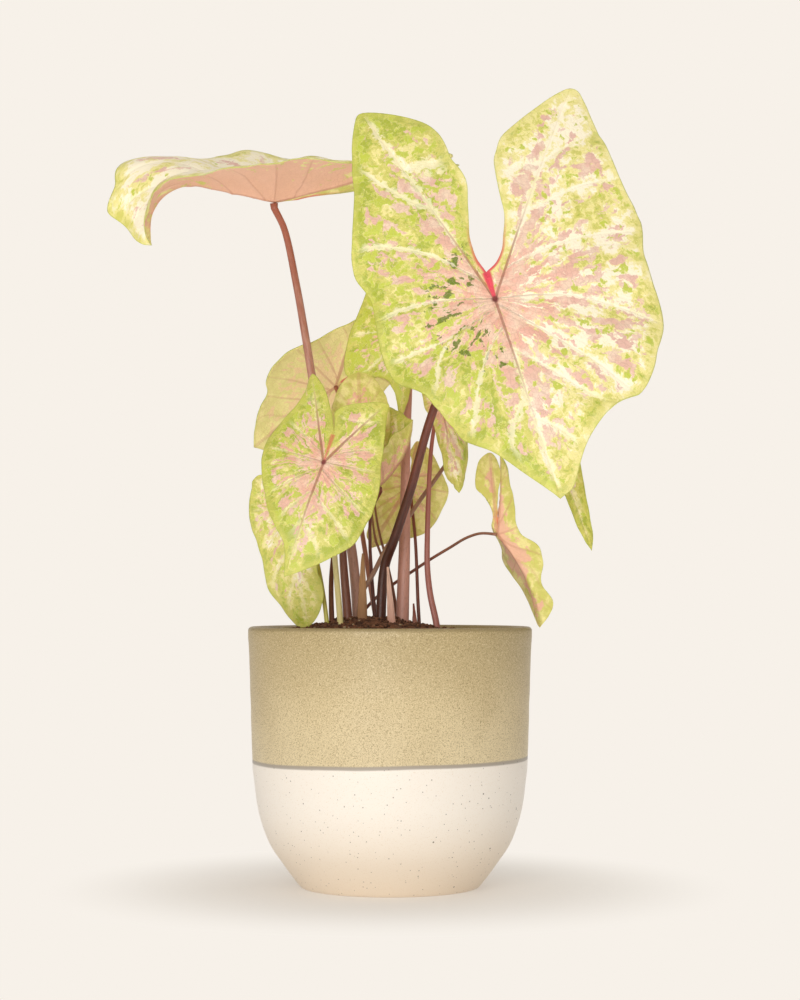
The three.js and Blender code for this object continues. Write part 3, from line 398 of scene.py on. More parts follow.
# The side veins of the large leaf, from the sinus round to the tip. Each is given by the place in the
# outline that it aims at, at the rib, a quarter, half and three quarters of the way out, and at the edge.
FRONT_VEINS = dict(
    left=[
        (5.8, 5.5, 5.3, 5.1, 5.0), (12.1, 11.4, 10.8, 10.3, 10.0), (15.3, 13.7, 12.9, 12.5, 12.4),
        (16.0, 15.6, 15.3, 15.15, 15.2), (16.4, 16.8, 17.05, 16.95, 16.9), (16.4, 16.8, 17.25, 18.7, 19.8),
        (17.4, 18.6, 20.1, 21.4, 22.2), (21.0, 21.9, 22.8, 23.6, 24.2),
    ],
    right=[
        (5.2, 5.0, 4.8, 4.6, 4.4), (10.9, 10.6, 10.4, 10.2, 10.0), (12.8, 12.4, 12.1, 12.0, 12.0),
        (14.9, 14.4, 14.1, 14.0, 14.0), (16.0, 16.1, 16.4, 17.1, 17.9), (16.2, 18.0, 19.1, 20.1, 21.1),
        (18.7, 19.8, 20.8, 21.7, 22.2), (22.2, 22.9, 23.4, 23.8, 24.2),
    ],
)

# How each blade is patterned. green is (left half, right half). It, pink, splash, fleck and below, the
# pink of the underside, shift how much of each covers the blade. bands, light and red are shares of the
# pale vein bands, of painted light that lightens the underside as if light shone through the blade, and of
# the red sinus. size scales the marks.
USUAL_LOOK = dict(pink=0.0, splash=0.0, fleck=-0.2, below=0.0, bands=0.4, light=0.0, red=0.6)
LOOKS = {
    "front": dict(green=(0.09, -0.03), size=1.0, fleck=0.0, bands=0.6, red=1.0),
    "top": dict(green=(-0.07, -0.07), size=0.9, pink=-0.03, splash=-0.03, below=0.08),
    "left_front": dict(green=(0.1, 0.08), size=0.75, pink=-0.02, bands=0.3),
    "left_back": dict(green=(0.02, 0.02), size=0.6, pink=0.02, light=0.55),
    "middle": dict(green=(0.1, 0.1), size=0.5, pink=-0.04, splash=0.06),
    "left_low": dict(green=(0.04, 0.04), size=0.5, pink=-0.03, splash=-0.02, bands=0.2),
    "right_back": dict(green=(0.06, 0.06), size=0.5, pink=0.02),
    "right_low": dict(green=(0.03, 0.03), size=0.45, pink=0.04, below=0.09),
    "centre_low": dict(green=(0.06, 0.06), size=0.5, splash=0.04, below=-0.08, light=0.15),
    "right_inner": dict(green=(0.0, 0.04), size=0.45, pink=0.04, below=0.04),
    "young_standing": dict(green=(0.05, 0.05), size=0.4),
    "young_folded": dict(green=(0.06, 0.06), size=0.4, pink=-0.02, splash=0.02),
    "small_back": dict(green=(0.05, 0.05), size=0.45, below=-0.08),
}

# How finely each blade is divided: rows for each point of the outline, and rings from rib to edge.
DETAIL = {
    "front": (7, 72), "top": (7, 56), "left_front": (6, 44), "left_back": (6, 40), "middle": (6, 36),
    "left_low": (6, 32), "right_back": (6, 30), "right_low": (6, 30), "centre_low": (8, 30),
    "right_inner": (6, 28), "young_standing": (7, 26), "young_folded": (8, 26), "small_back": (6, 24),
}

# The colour at the top and at the foot of each stalk, and how strongly it is speckled. The pale feet of top
# and left_back are partly their own pink brown and partly painted light, lightened against the shade of
# the blades above them.
STALKS = {
    "front": ("#8E4A3C", "#4C2618", 0.35),
    # painted light: this pale foot is lightened against the shade of the blades above it
    "top": ("#A5614F", "#D6A896", 0.4),
    "left_front": ("#EEE4AC", "#E6D894", 0.2),
    # painted light: this pale foot is lightened against the shade of the blades above it
    "left_back": ("#A5614F", "#C08672", 0.45),
    "middle": ("#CF9285", "#D29A8A", 0.3),
    "left_low": ("#D6D25A", "#C9C25E", 0.15),
    "right_back": ("#7E4638", "#B08A76", 0.4),
    "right_low": ("#A0705A", "#8E5442", 0.3),
    "centre_low": ("#96543F", "#7E4636", 0.3),
    "right_inner": ("#B4685C", "#B4746A", 0.3),
    "young_standing": ("#A06E5E", "#8E5C4C", 0.4),
    "young_folded": ("#8E5040", "#6E3E32", 0.3),
    "small_back": ("#84503E", "#7A4C3A", 0.3),
    "spear_short": ("#A8744C", "#8E5B42", 0.2),
    "spear_tall": ("#A8744C", "#8E5B42", 0.2),
}

# The colour at the tip and at the foot of each sheath.
SHEATH_TONES = {
    "sheath_brown": ("#C09468", "#8E6444"),
    "sheath_pink": ("#E8C0AC", "#D09A86"),
    "sheath_small": ("#8A4A3A", "#DDAA96"),
}


def hex_colour(text):
    """Linear red, green, blue and alpha of a colour written as #RRGGBB."""
    channels = [int(text[i : i + 2], 16) / 255 for i in (1, 3, 5)]
    return (*(c / 12.92 if c <= 0.04045 else ((c + 0.055) / 1.055) ** 2.4 for c in channels), 1.0)


# ---------------------------------------------------------------- what a user may change
def colour_property(name, text, description):
    return bpy.props.FloatVectorProperty(
        name=name, description=description, subtype="COLOR", size=4, min=0, max=1, default=hex_colour(text)
    )


def length_property(name, millimetres, description):
    return bpy.props.FloatProperty(
        name=name, description=description, subtype="DISTANCE", unit="LENGTH", default=millimetres * MM
    )


def number_property(name, value, description, **limits):
    return bpy.props.FloatProperty(name=name, description=description, default=value, **limits)


class LeafColours(bpy.types.PropertyGroup):
    """Colours of the leaves."""

    cream: colour_property("Cream", "#FBF4DE", "Palest ground and the bands along the veins")
    pale: colour_property("Pale green", "#ECE49C", "Ground between cream and green")
    yellow_green: colour_property("Yellow green", "#D2CF6C", "Green ground, strongest at the margin")
    green: colour_property("Green", "#ACB83E", "Deepest green of the ground")
    splash: colour_property("Splash", "#BFCB42", "Bright green splashes")
    dark_green: colour_property("Dark green", "#667C12", "The few dark flecks")
    pink: colour_property("Pink", "#ECB2A2", "Patches round the joint")
    mauve: colour_property("Mauve", "#E3B7AC", "Patches further out")
    vein: colour_property("Vein", "#A4604E", "Thin lines of the veins near the joint")
    red: colour_property("Red", "#D9485A", "Edge of the sinus")
    joint: colour_property("Joint", "#8A4440", "Spot where the stalk meets the blade")
    olive: colour_property("Olive", "#D0CE6C", "Green parts of the underside")
    brown_pink: colour_property("Brown pink", "#ECB8A4", "Pink parts of the underside")
    # painted light: a pale colour laid over an underside to stand in for light shining through the blade
    painted_through_light: colour_property("Lit", "#FAF2B4", "Light that shines through to an underside")
    rib: colour_property("Rib", "#C88E74", "Raised ribs of the underside")


class LeafSizes(bpy.types.PropertyGroup):
    """Sizes of the blades' fine forms."""

    blade: length_property("Blade", 0.7, "Thickness of a blade")
    quilting: length_property("Quilting", 0.9, "How high a blade swells between two veins")
    groove: length_property("Groove", 0.6, "How deep a vein lies in the upper side")
    margin: length_property("Margin", 6, "Width of the green margin")


class PotFinish(bpy.types.PropertyGroup):
    """Colours and fine sizes of the pot."""

    upper: colour_property("Upper glaze", "#E0CDA2", "Tan olive glaze above the line")
    lower: colour_property("Lower glaze", "#FDF6EC", "Cream glaze below the line")
    speck: colour_property("Specks", "#4E3A26", "Iron specks in the glaze")
    line: length_property("Glaze line", 94.3, "Height of the line between the glazes")
    throwing: length_property("Throwing rings", 0.12, "Height of the faint rings of the wall")


class SoilFinish(bpy.types.PropertyGroup):
    """Colours and sizes of the soil."""

    dark: colour_property("Dark", "#4A2C1C", "Moist soil")
    light: colour_property("Light", "#8A5C40", "Drier crumbs")
    chip: colour_property("Chips", "#C9B79A", "Pale chips of bark and stone")
    crumb: length_property("Crumb", 2.2, "Size of a usual crumb")
    crumbs: bpy.props.IntProperty(name="Crumbs", description="How many loose crumbs", default=1300, min=0)


class StageSettings(bpy.types.PropertyGroup):
    """Camera, light and floor."""

    focal: number_property("Focal length", 83.3, "Of the lens, in mm, on a 36 mm frame", min=1)
    key: number_property("Key light", 17, "Power of the soft key light in watts")
    high: number_property("Sky", 0.62, "Strength of the light from above and below")
    beside: number_property("Sides", 0.18, "Strength of the light from the sides")
    backdrop: colour_property("Backdrop", "#F7F1E9", "Colour of the room")
    floor: colour_property("Floor", "#F6F1EA", "Colour of the floor")


# ---------------------------------------------------------------- shader nodes
class Value:
    """An output of a shader node. What is worked out from it adds more nodes to its recipe."""

    def __init__(self, recipe, socket):
        self.recipe, self.socket = recipe, socket

    def __add__(self, other):
        return self.recipe.math("ADD", self, other)

    def __sub__(self, other):
        return self.recipe.math("SUBTRACT", self, other)

    def __rsub__(self, other):
        return self.recipe.math("SUBTRACT", other, self)

    def __mul__(self, other):
        return self.recipe.math("MULTIPLY", self, other)

    def __truediv__(self, other):
        return self.recipe.math("DIVIDE", self, other)

    def __pow__(self, other):
        return self.recipe.math("POWER", self, other)

    def __abs__(self):
        return self.recipe.math("ABSOLUTE", self)

    def __round__(self):
        return self.recipe.math("ROUND", self)


class Recipe:
    """Adds shader nodes to a tree and links them, one step after another."""

    def __init__(self, tree):
        self.tree = tree

    def feed(self, socket, value):
        """Links value to a socket, or sets the socket to it."""
        source = value.socket if isinstance(value, Value) else value
        if isinstance(source, bpy.types.NodeSocket):
            self.tree.links.new(source, socket)
        else:
            socket.default_value = source

    def node(self, kind, inputs=(), **settings):
        made = self.tree.nodes.new(kind)
        for name, value in settings.items():
            setattr(made, name, value)
        for socket, value in dict(inputs).items():
            self.feed(made.inputs[socket], value)
        return made

    def value(self, kind, inputs=(), output=0, **settings):
        return Value(self, self.node(kind, inputs, **settings).outputs[output])

    def values(self, node):
        """All outputs of a node by name."""
        return {output.name: Value(self, output) for output in node.outputs}

    def math(self, operation, *operands):
        return self.value("ShaderNodeMath", enumerate(operands), operation=operation)

    def root(self, value):
        return self.math("SQRT", value)

    def larger(self, first, second):
        return self.math("MAXIMUM", first, second)

    def fade(self, value, low, high, start=0.0, end=1.0):
        """Runs smoothly from start, at low, to end, at high."""
        ends = {"Value": value, "From Min": low, "From Max": high, "To Min": start, "To Max": end}
        return self.value("ShaderNodeMapRange", ends, "Result", interpolation_type="SMOOTHSTEP")

    def mix(self, share, first, second):
        return self.value("ShaderNodeMix", {0: share, 6: first, 7: second}, 2, data_type="RGBA")

    def layers(self, colour, *coats):
        """A colour under coats of (share, colour of the coat)."""
        for share, coat in coats:
            colour = self.mix(share, colour, coat)
        return colour

    def vector(self, x, y, z):
        return self.value("ShaderNodeCombineXYZ", enumerate((x, y, z)))

    def parts(self, value):
        return [Value(self, part) for part in self.node("ShaderNodeSeparateXYZ", {0: value}).outputs]

    def length(self, value):
        return self.value("ShaderNodeVectorMath", {0: value}, "Value", operation="LENGTH")

    def noise(self, vector, scale, detail, roughness=0.5, output=0):
        sockets = {"Vector": vector, "Scale": scale, "Detail": detail, "Roughness": roughness}
        return self.value("ShaderNodeTexNoise", sockets, output)

    def cells(self, vector, scale, feature="F1"):
        sockets = {"Vector": vector, "Scale": scale}
        return self.values(self.node("ShaderNodeTexVoronoi", sockets, feature=feature))

    def attribute(self, name):
        """The three parts of an attribute of the mesh."""
        return self.parts(self.value("ShaderNodeAttribute", (), "Vector", attribute_name=name))

    def place(self, kind="Object"):
        return self.value("ShaderNodeTexCoord", (), kind)


def new_material(name, roughness, **constants):
    """A material with one Principled shader, and the recipe that adds to it."""
    made = bpy.data.materials.new(name)
    made.use_nodes = True
    made.node_tree.nodes.clear()
    recipe = Recipe(made.node_tree)
    shader = recipe.node("ShaderNodeBsdfPrincipled", {"Roughness": roughness, **constants})
    recipe.node("ShaderNodeOutputMaterial", {"Surface": shader.outputs[0]})
    return made, recipe, shader


def dress(recipe, shader, colour, height, depth):
    """Gives a shader its colour, and a bump that is depth metres high."""
    raised = recipe.value("ShaderNodeBump", {"Height": height, "Distance": depth, "Strength": 1.0})
    recipe.feed(shader.inputs["Base Color"], colour)
    recipe.feed(shader.inputs["Normal"], raised)


# ---------------------------------------------------------------- pieces
def new_piece(shape, name, node, material, slot=None):
    """A finished piece from a bmesh in metres. It rides on the part and stands for a CAD node, if any."""
    mesh = bpy.data.meshes.new(name)
    for face in shape.faces:
        face.smooth = True
    shape.to_mesh(mesh)
    shape.free()
    mesh.materials.append(material)
    piece = bpy.data.objects.new(name, mesh)
    bpy.context.scene.collection.objects.link(piece)
    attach(piece, "root")
    if node:
        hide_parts(node)
    slot or SLOTS[node]
    return piece


def thicken(piece, thickness, material_offset=0):
    wall = piece.modifiers.new("thickness", "SOLIDIFY")
    wall.thickness = thickness
    wall.offset = 0
    wall.material_offset = material_offset


def relocate(shape, place):
    """Moves each vertex of a unit grid to place(vertex, x, y), with x and y from 0 to 1."""
    for vertex in shape.verts:
        vertex.co = place(vertex, vertex.co.x + 0.5, vertex.co.y + 0.5)


def grid(rows, columns):
    shape = bmesh.new()
    bmesh.ops.create_grid(shape, x_segments=rows, y_segments=columns, size=0.5)
    return shape


# ---------------------------------------------------------------- lines and steps
def clamp(value, low=0.0, high=1.0):
    return max(low, min(high, value))


def smooth(value, low, high):
    """Smooth step from 0 at low to 1 at high, which may be below low."""
    share = clamp((value - low) / (high - low))
    return share * share * (3 - 2 * share)


def around(points, at):
    """The four points around a place along points, which are one apart, and the share between two."""
    last = len(points) - 1
    i = min(int(at), last - 1)
    p1, p2 = points[i], points[i + 1]
    p0 = points[i - 1] if i else 2 * p1 - p2
    p3 = points[i + 2] if i + 2 <= last else 2 * p2 - p1
    return p0, p1, p2, p3, at - i


def spline(points, at):
    """The point at a place along a smooth line through points."""
    p0, p1, p2, p3, f = around(points, at)
    return 0.5 * (
        2 * p1 + (p2 - p0) * f + (2 * p0 - 5 * p1 + 4 * p2 - p3) * f * f + (3 * p1 - p0 - 3 * p2 + p3) * f**3
    )


def centripetal(points, at):
    """The same along a centripetal spline, which never loops where points stand unevenly."""
    p0, p1, p2, p3, f = around(points, at)
    d0, d1, d2 = (max((q - p).length ** 0.5, 1e-4) for p, q in ((p0, p1), (p1, p2), (p2, p3)))
    t1 = ((p1 - p0) / d0 - (p2 - p0) / (d0 + d1) + (p2 - p1) / d1) * d1
    t2 = ((p2 - p1) / d1 - (p3 - p1) / (d1 + d2) + (p3 - p2) / d2) * d1
    return p1 + t1 * f + (3 * (p2 - p1) - 2 * t1 - t2) * f * f + (2 * (p1 - p2) + t1 + t2) * f**3


def evenly(points, count):
    """count + 1 points, evenly spaced along the spline through points, and its length."""
    fine = 24 * (len(points) - 1)
    line = [centripetal(points, (len(points) - 1) * i / fine) for i in range(fine + 1)]
    reach = [0.0]
    for here, there in zip(line, line[1:]):
        reach.append(reach[-1] + (there - here).length)
    spaced, i = [], 0
    for step in range(count + 1):
        wanted = reach[-1] * step / count
        while i < fine - 1 and reach[i + 1] < wanted:
            i += 1
        share = (wanted - reach[i]) / max(reach[i + 1] - reach[i], 1e-9)
        spaced.append(line[i].lerp(line[i + 1], clamp(share)))
    return spaced, reach[-1]


def from_line(point, start, end):
    along = end - start
    share = clamp((point - start).dot(along) / max(along.length_squared, 1e-9))
    return (point - start - along * share).length


def bend(distance, arc, length, lean=0):
    """A line that leans at once, runs straight and then turns evenly: (along, away, angle)."""
    start, turn = arc
    first = math.radians(lean)
    rate = math.radians(turn) / (length - start)
    straight = min(distance, start)
    angle = first + rate * max(distance - start, 0)
    along = straight * math.cos(first) + (math.sin(angle) - math.sin(first)) / rate
    away = straight * math.sin(first) + (math.cos(first) - math.cos(angle)) / rate
    return along, away, angle - first * (1 - min(distance / LEAN_REACH, 1))


# ---------------------------------------------------------------- form of a blade
ROW_STEP, OUT_STEP = 0.05, 0.02  # steps over which slopes on the blade are measured
GAP_LIMITS = (1.0, 60.0)  # the least and the most that two veins are taken to be apart


class Half:
    """One half of a blade: rows that run from the lobe's vein or the midrib out to the edge."""

    def __init__(self, leaf, form, veins=None):
        wall, flank, lower = form["wall"], form["flank"], form["lower"]
        self.leaf, self.form = leaf, form
        self.vein_end = Vector(form["lobe"][:2]) * LOBE_VEIN
        rib_end = Vector(leaf["tip_end"]) * MIDRIB
        n = len(wall)
        self.lobe_row = n + 1
        self.shoulder_row = self.lobe_row + n + 1
        edges = [leaf["sinus"], *wall, form["lobe"], *flank, form["shoulder"], *lower, leaf["tip_end"]]
        self.edges = [Vector((*edge, 0.0)[:3]) for edge in edges]
        self.feet = [self.vein_end * (i / n) for i in range(n + 1)] + [self.vein_end]
        self.feet += [self.vein_end * (1 - i / n) for i in range(n + 1)]
        self.feet += [rib_end * ((i + 1) / len(lower)) for i in range(len(lower))] + [rib_end]
        self.last = len(edges) - 1
        self.veins = veins or self.usual_veins()
        self.known = {}

    def usual_veins(self):
        """Side veins of any leaf, as in FRONT_VEINS. They sweep towards the lobe's end or the tip."""
        lobe, shoulder = self.lobe_row, self.shoulder_row
        flank, lower = shoulder - lobe, self.last - shoulder
        ends = [
            (0.6 * lobe, 0.4 * lobe),
            (lobe + 0.45 * flank, lobe + 0.3 * flank),
            (lobe + 0.92 * flank, lobe + 0.72 * flank),
            (shoulder, shoulder + 0.06 * lower),
            (shoulder + 0.05 * lower, shoulder + 0.38 * lower),
            (shoulder + 0.25 * lower, shoulder + 0.6 * lower),
            (shoulder + 0.5 * lower, shoulder + 0.8 * lower),
        ]
        return [[foot + (edge - foot) * (i / 4) ** 0.8 for i in range(5)] for foot, edge in ends]

    def foot(self, row):
        i = min(int(row), self.last - 1)
        return self.feet[i].lerp(self.feet[i + 1], row - i)

    def edge(self, row):
        """The outline, finely uneven."""
        place = Vector((1.7 * row, self.last + 0.5, self.leaf["tip_length"] + 0.5))
        uneven = Vector((noise.noise(place), noise.noise(place + Vector((0, 17, 0))), 0))
        return spline(self.edges, row) + uneven * EDGE_WANDER * smooth(min(row, self.last - row), 0, 1)

    def flat(self, row, out):
        foot = self.foot(row)
        edge = self.edge(row)
        return foot + (edge.xy - foot) * out

    def phase(self, row, out):
        """Counts the side veins from the sinus to the tip: each whole number is one."""
        if out not in self.known:
            self.known[out] = [0.0, *(spline(vein, 4 * clamp(out)) for vein in self.veins), self.last]
        marks = self.known[out]
        passed = sum(mark <= row for mark in marks[1:-1])
        share = clamp((row - marks[passed]) / max(marks[passed + 1] - marks[passed], 0.02))
        if passed == 0:
            return 0.5 + 0.5 * share
        return passed + (0.5 * share if passed == len(self.veins) else share)

    def gap(self, row, out):
        """Millimetres between two veins here."""
        row = clamp(row, ROW_STEP, self.last - ROW_STEP)
        out = clamp(out, 0.06, 0.97)
        spots = (row - ROW_STEP, out), (row + ROW_STEP, out), (row, out - OUT_STEP), (row, out + OUT_STEP)
        before, after, nearer, further = ((self.flat(*spot), self.phase(*spot)) for spot in spots)
        across, by_row = ((b - a) / (2 * ROW_STEP) for a, b in zip(before, after))
        outward, by_out = ((b - a) / (2 * OUT_STEP) for a, b in zip(nearer, further))
        area = across.cross(outward)
        if abs(area) < 1e-6:
            return 1.0
        slope = (by_row * outward.y - by_out * across.y, by_out * across.x - by_row * outward.x)
        return clamp(1 / max((Vector(slope) / area).length, 1e-3), *GAP_LIMITS)

    def inset(self, row, out):
        """Distance to the edge."""
        row = clamp(row, ROW_STEP, self.last - ROW_STEP)
        foot, edge = self.foot(row), self.edge(row).xy
        along = (self.edge(row + ROW_STEP) - self.edge(row - ROW_STEP)).xy
        reach = edge - foot
        if along.length < 1e-6 or reach.length < 1e-6:
            return 0.0
        sine = abs(along.normalized().cross(reach.normalized()))
        return (1 - out) * reach.length * max(sine, 0.35)

    def rib(self, point):
        """Distance to the midrib or to the vein of the lobe."""
        joint, lobe = Vector((0, 0)), Vector(self.form["lobe"][:2])
        lines = (joint, Vector(self.leaf["tip_end"])), (joint, self.vein_end), (self.vein_end, lobe)
        return min(from_line(point, *line) for line in lines)

    def redness(self, row):
        """How red the edge is: strongest in the sinus, and gone a third of the way up the lobe."""
        if row > self.lobe_row:
            return 0.0
        lobe = self.leaf["lobe_length"]
        return smooth(self.edge(row).xy.length, 0.42 * lobe, 0.1 * lobe)

    def lift(self, row, out):
        """How far the waved edge stands off the sheet."""
        height, count, phase = self.leaf["waves"]
        turn = row / self.last
        wave = height * math.sqrt(max(0.0, math.sin(math.pi * turn)))
        wave *= math.sin(2 * math.pi * (count * turn + phase))
        return self.edge(row).z * out**2 + wave * out**WAVE_GROWTH


class Sheet:
    """The arched, folded and curled sheet that a blade's flat outline lies on."""

    def __init__(self, leaf):
        self.leaf = leaf
        self.joint = Vector(leaf["joint"])
        self.tip = Vector(leaf["tip"]).normalized()
        face = Vector(leaf["face"])
        self.face = (face - self.tip * face.dot(self.tip)).normalized()
        self.side = self.tip.cross(self.face)

    def along(self, values, a):
        """A value that is given at the lobe, the joint and the tip, taken at a."""
        at_lobe, at_joint, at_tip = values
        to_lobe = clamp(-a / self.leaf["lobe_length"])
        to_tip = clamp(a / self.leaf["tip_length"])
        return at_joint + (at_lobe - at_joint) * to_lobe + (at_tip - at_joint) * to_tip

    def point(self, a, b, half):
        leaf = self.leaf
        tip_along, tip_away, tip_angle = bend(max(a, 0), leaf["tip_arc"], leaf["tip_length"])
        lobe_along, lobe_away, lobe_angle = bend(
            max(-a, 0), leaf["lobe_arc"], leaf["lobe_length"], leaf.get("lobe_lean", 0)
        )
        angle = tip_angle - lobe_angle
        sway = leaf.get("sway", 0) * math.sin(math.pi * clamp(a / leaf["tip_length"]))
        fold = math.radians(self.along(half["fold"], a))
        curl = math.radians(self.along(half["curl"], a) or 0.001) / (leaf["half_width"] - leaf["curl_from"])
        flat = min(abs(b), leaf["curl_from"])
        turned_by = fold + curl * max(abs(b) - leaf["curl_from"], 0)
        across = flat * math.cos(fold) + (math.sin(turned_by) - math.sin(fold)) / curl
        drop = flat * math.sin(fold) + (math.cos(fold) - math.cos(turned_by)) / curl
        return (
            self.joint
            + self.tip * (tip_along - lobe_along - drop * math.sin(angle))
            - self.face * (tip_away + lobe_away + drop * math.cos(angle))
            + self.side * (sway + math.copysign(across, b))
        )


SEED_STEP = 37.0  # how far apart two leaves' patterns are taken from the noise
VEIN_WIDTH, RIB_WIDTH = 1.6, 2.2  # of the grooves
EDGE_FADE, RIB_FADE = 9, 12  # how near the edge and the ribs the surface calms down
GAP_FADE = (4, 22)  # and how near one another two veins are where it does
BROAD, SMALL = 26, 11  # sizes of the unevenness between the veins
WELD = 0.01  # corners of the sheet nearer to each other than this are one
JOINT_REACH = 12  # how far round the joint the sheet surely faces the way of its upper side
NUDGE = 1e-9  # tells the two sides of the midrib apart


def blade_shape(leaf, size, detail, sizes):
    """The sheet of a blade in metres, with what its material needs to know at each vertex."""
    veins = FRONT_VEINS if leaf["name"] == "front" else {}
    halves = [Half(leaf, leaf[side], veins.get(side)) for side in ("left", "right")]
    sheet = Sheet(leaf)
    per_row, rings = detail
    counts = [half.last * per_row for half in halves]
    shape = grid(sum(counts), rings)
    layers = shape.verts.layers
    flat_layer, vein_layer, edge_layer = (layers.float_vector.new(name) for name in ("flat", "vein", "edge"))
    lift_layer = layers.float.new("lift")
    seed = SEED_STEP * LEAVES.index(leaf)
    swell, groove = sizes.quilting / MM * size**0.5, sizes.groove / MM * size**0.5

    def place(vertex, x, out):
        step = round(x * sum(counts))
        left = step <= counts[0]
        half = halves[0] if left else halves[1]
        row = step / per_row if left else (sum(counts) - step) / per_row
        point = half.flat(row, out)
        gap, rib = half.gap(row, out), half.rib(point)
        phase = half.phase(row, out)
        inset = half.inset(row, out)
        spot = Vector((point.x, point.y, seed))
        vertex[flat_layer] = spot
        vertex[vein_layer] = (phase, gap, rib)
        vertex[edge_layer] = (inset, half.redness(row), 0)
        between = abs(phase - round(phase)) * gap
        inner = smooth(inset, 0, EDGE_FADE)
        room = smooth(gap, *GAP_FADE) * inner
        lift = half.lift(row, out)
        lift += swell * room * smooth(rib, 0, RIB_FADE) * math.sin(math.pi * (phase % 1.0)) ** 2
        lift -= groove * room * math.exp(-((between / VEIN_WIDTH) ** 2))
        lift -= 1.5 * groove * math.exp(-((rib / RIB_WIDTH) ** 2)) * inner
        lift += swell * inner * (0.5 * noise.noise(spot / (BROAD * size)) + 0.5 * noise.noise(spot / SMALL))
        vertex[lift_layer] = lift
        side = leaf["right"] if point.y < 0 or (point.y == 0 and not left) else leaf["left"]
        return sheet.point(point.x, point.y if point.y else (NUDGE if left else -NUDGE), side)

    relocate(shape, place)
    bmesh.ops.remove_doubles(shape, verts=shape.verts, dist=WELD)
    near = [face for face in shape.faces if (face.calc_center_median() - sheet.joint).length < JOINT_REACH]
    if sum(face.normal.dot(sheet.face) for face in near) < 0:
        bmesh.ops.reverse_faces(shape, faces=shape.faces)
    shape.normal_update()
    moved = [vertex.co + vertex.normal * vertex[lift_layer] for vertex in shape.verts]
    for vertex, place_now in zip(shape.verts, moved):
        vertex.co = place_now * MM
    layers.float.remove(lift_layer)
    return shape


# ---------------------------------------------------------------- leaf materials
# light is the share of painted light laid over an underside.
GROUP_INPUTS = (
    "green_left", "green_right", "pink", "splash", "fleck", "size", "sinus", "below", "bands", "light", "red",
)


def leaf_pattern(name):
    """An empty node group for one side of a blade, its recipe, and what it is patterned by."""
    tree = bpy.data.node_groups.new(name, "ShaderNodeTree")
    for label in GROUP_INPUTS:
        tree.interface.new_socket(name=label, in_out="INPUT", socket_type="NodeSocketFloat")
    for label, kind in (("Colour", "NodeSocketColor"), ("Height", "NodeSocketFloat")):
        tree.interface.new_socket(name=label, in_out="OUTPUT", socket_type=kind)
    recipe = Recipe(tree)
    given = SimpleNamespace(**{
        label: value for label, value in recipe.values(recipe.node("NodeGroupInput")).items() if label
    })
    (a, b, seed), (phase, gap, rib), (inset, redness, _) = (
        recipe.attribute(layer) for layer in ("flat", "vein", "edge")
    )
    size = given.size
    place = recipe.vector(a, b, seed)

    def to_whole(count):
        return abs(count - round(count))

    reach, middle = 11.0, 5.5  # the noise that warps the pattern moves it by up to so many mm
    wander = recipe.noise(place, 1 / 12, 4.0, 0.65, output="Color")
    shifted = {0: wander, 1: (reach, reach, 0.0), 2: place}
    warped = recipe.parts(recipe.value("ShaderNodeVectorMath", shifted, operation="MULTIPLY_ADD"))
    warped_a, warped_b = warped[0] - middle, warped[1] - middle
    warped_radius = recipe.length(recipe.vector(warped_a, warped_b, 0.0))
    warped_angle = recipe.math("ARCTAN2", warped_b, warped_a)

    def streaks(length, turns, shift, detail=3.0):
        """Noise drawn out from the joint: length in mm, turns in features to a radian."""
        along = warped_radius / (size * length)
        return recipe.noise(recipe.vector(along + shift, warped_angle * turns, seed), 1.0, detail, 0.6)

    def patches(width, shift, detail=4.0, roughness=0.6):
        """Ragged noise with no direction: width in mm."""
        spot = recipe.vector(warped_a + shift, warped_b, seed)
        scale = recipe.math("DIVIDE", 1 / width, recipe.root(size))
        return recipe.noise(spot, scale, detail, roughness)

    field = SimpleNamespace(
        a=a, b=b, place=place, gap=gap, rib=rib, inset=inset, redness=redness, size=size,
        streaks=streaks, patches=patches, to_vein=to_whole(phase) * gap,
        to_fine=to_whole(phase * 3.0 + 0.5) * gap * (1 / 3),
        net=recipe.cells(place, 1 / 3.4, "DISTANCE_TO_EDGE")["Distance"],
        near=recipe.length(recipe.vector(a, b, 0.0)) / size,
    )
    return tree, recipe, given, field


def blend(first, second, share):
    """first and second, mixed with share of the second."""
    return first * (1 - share) + second * share


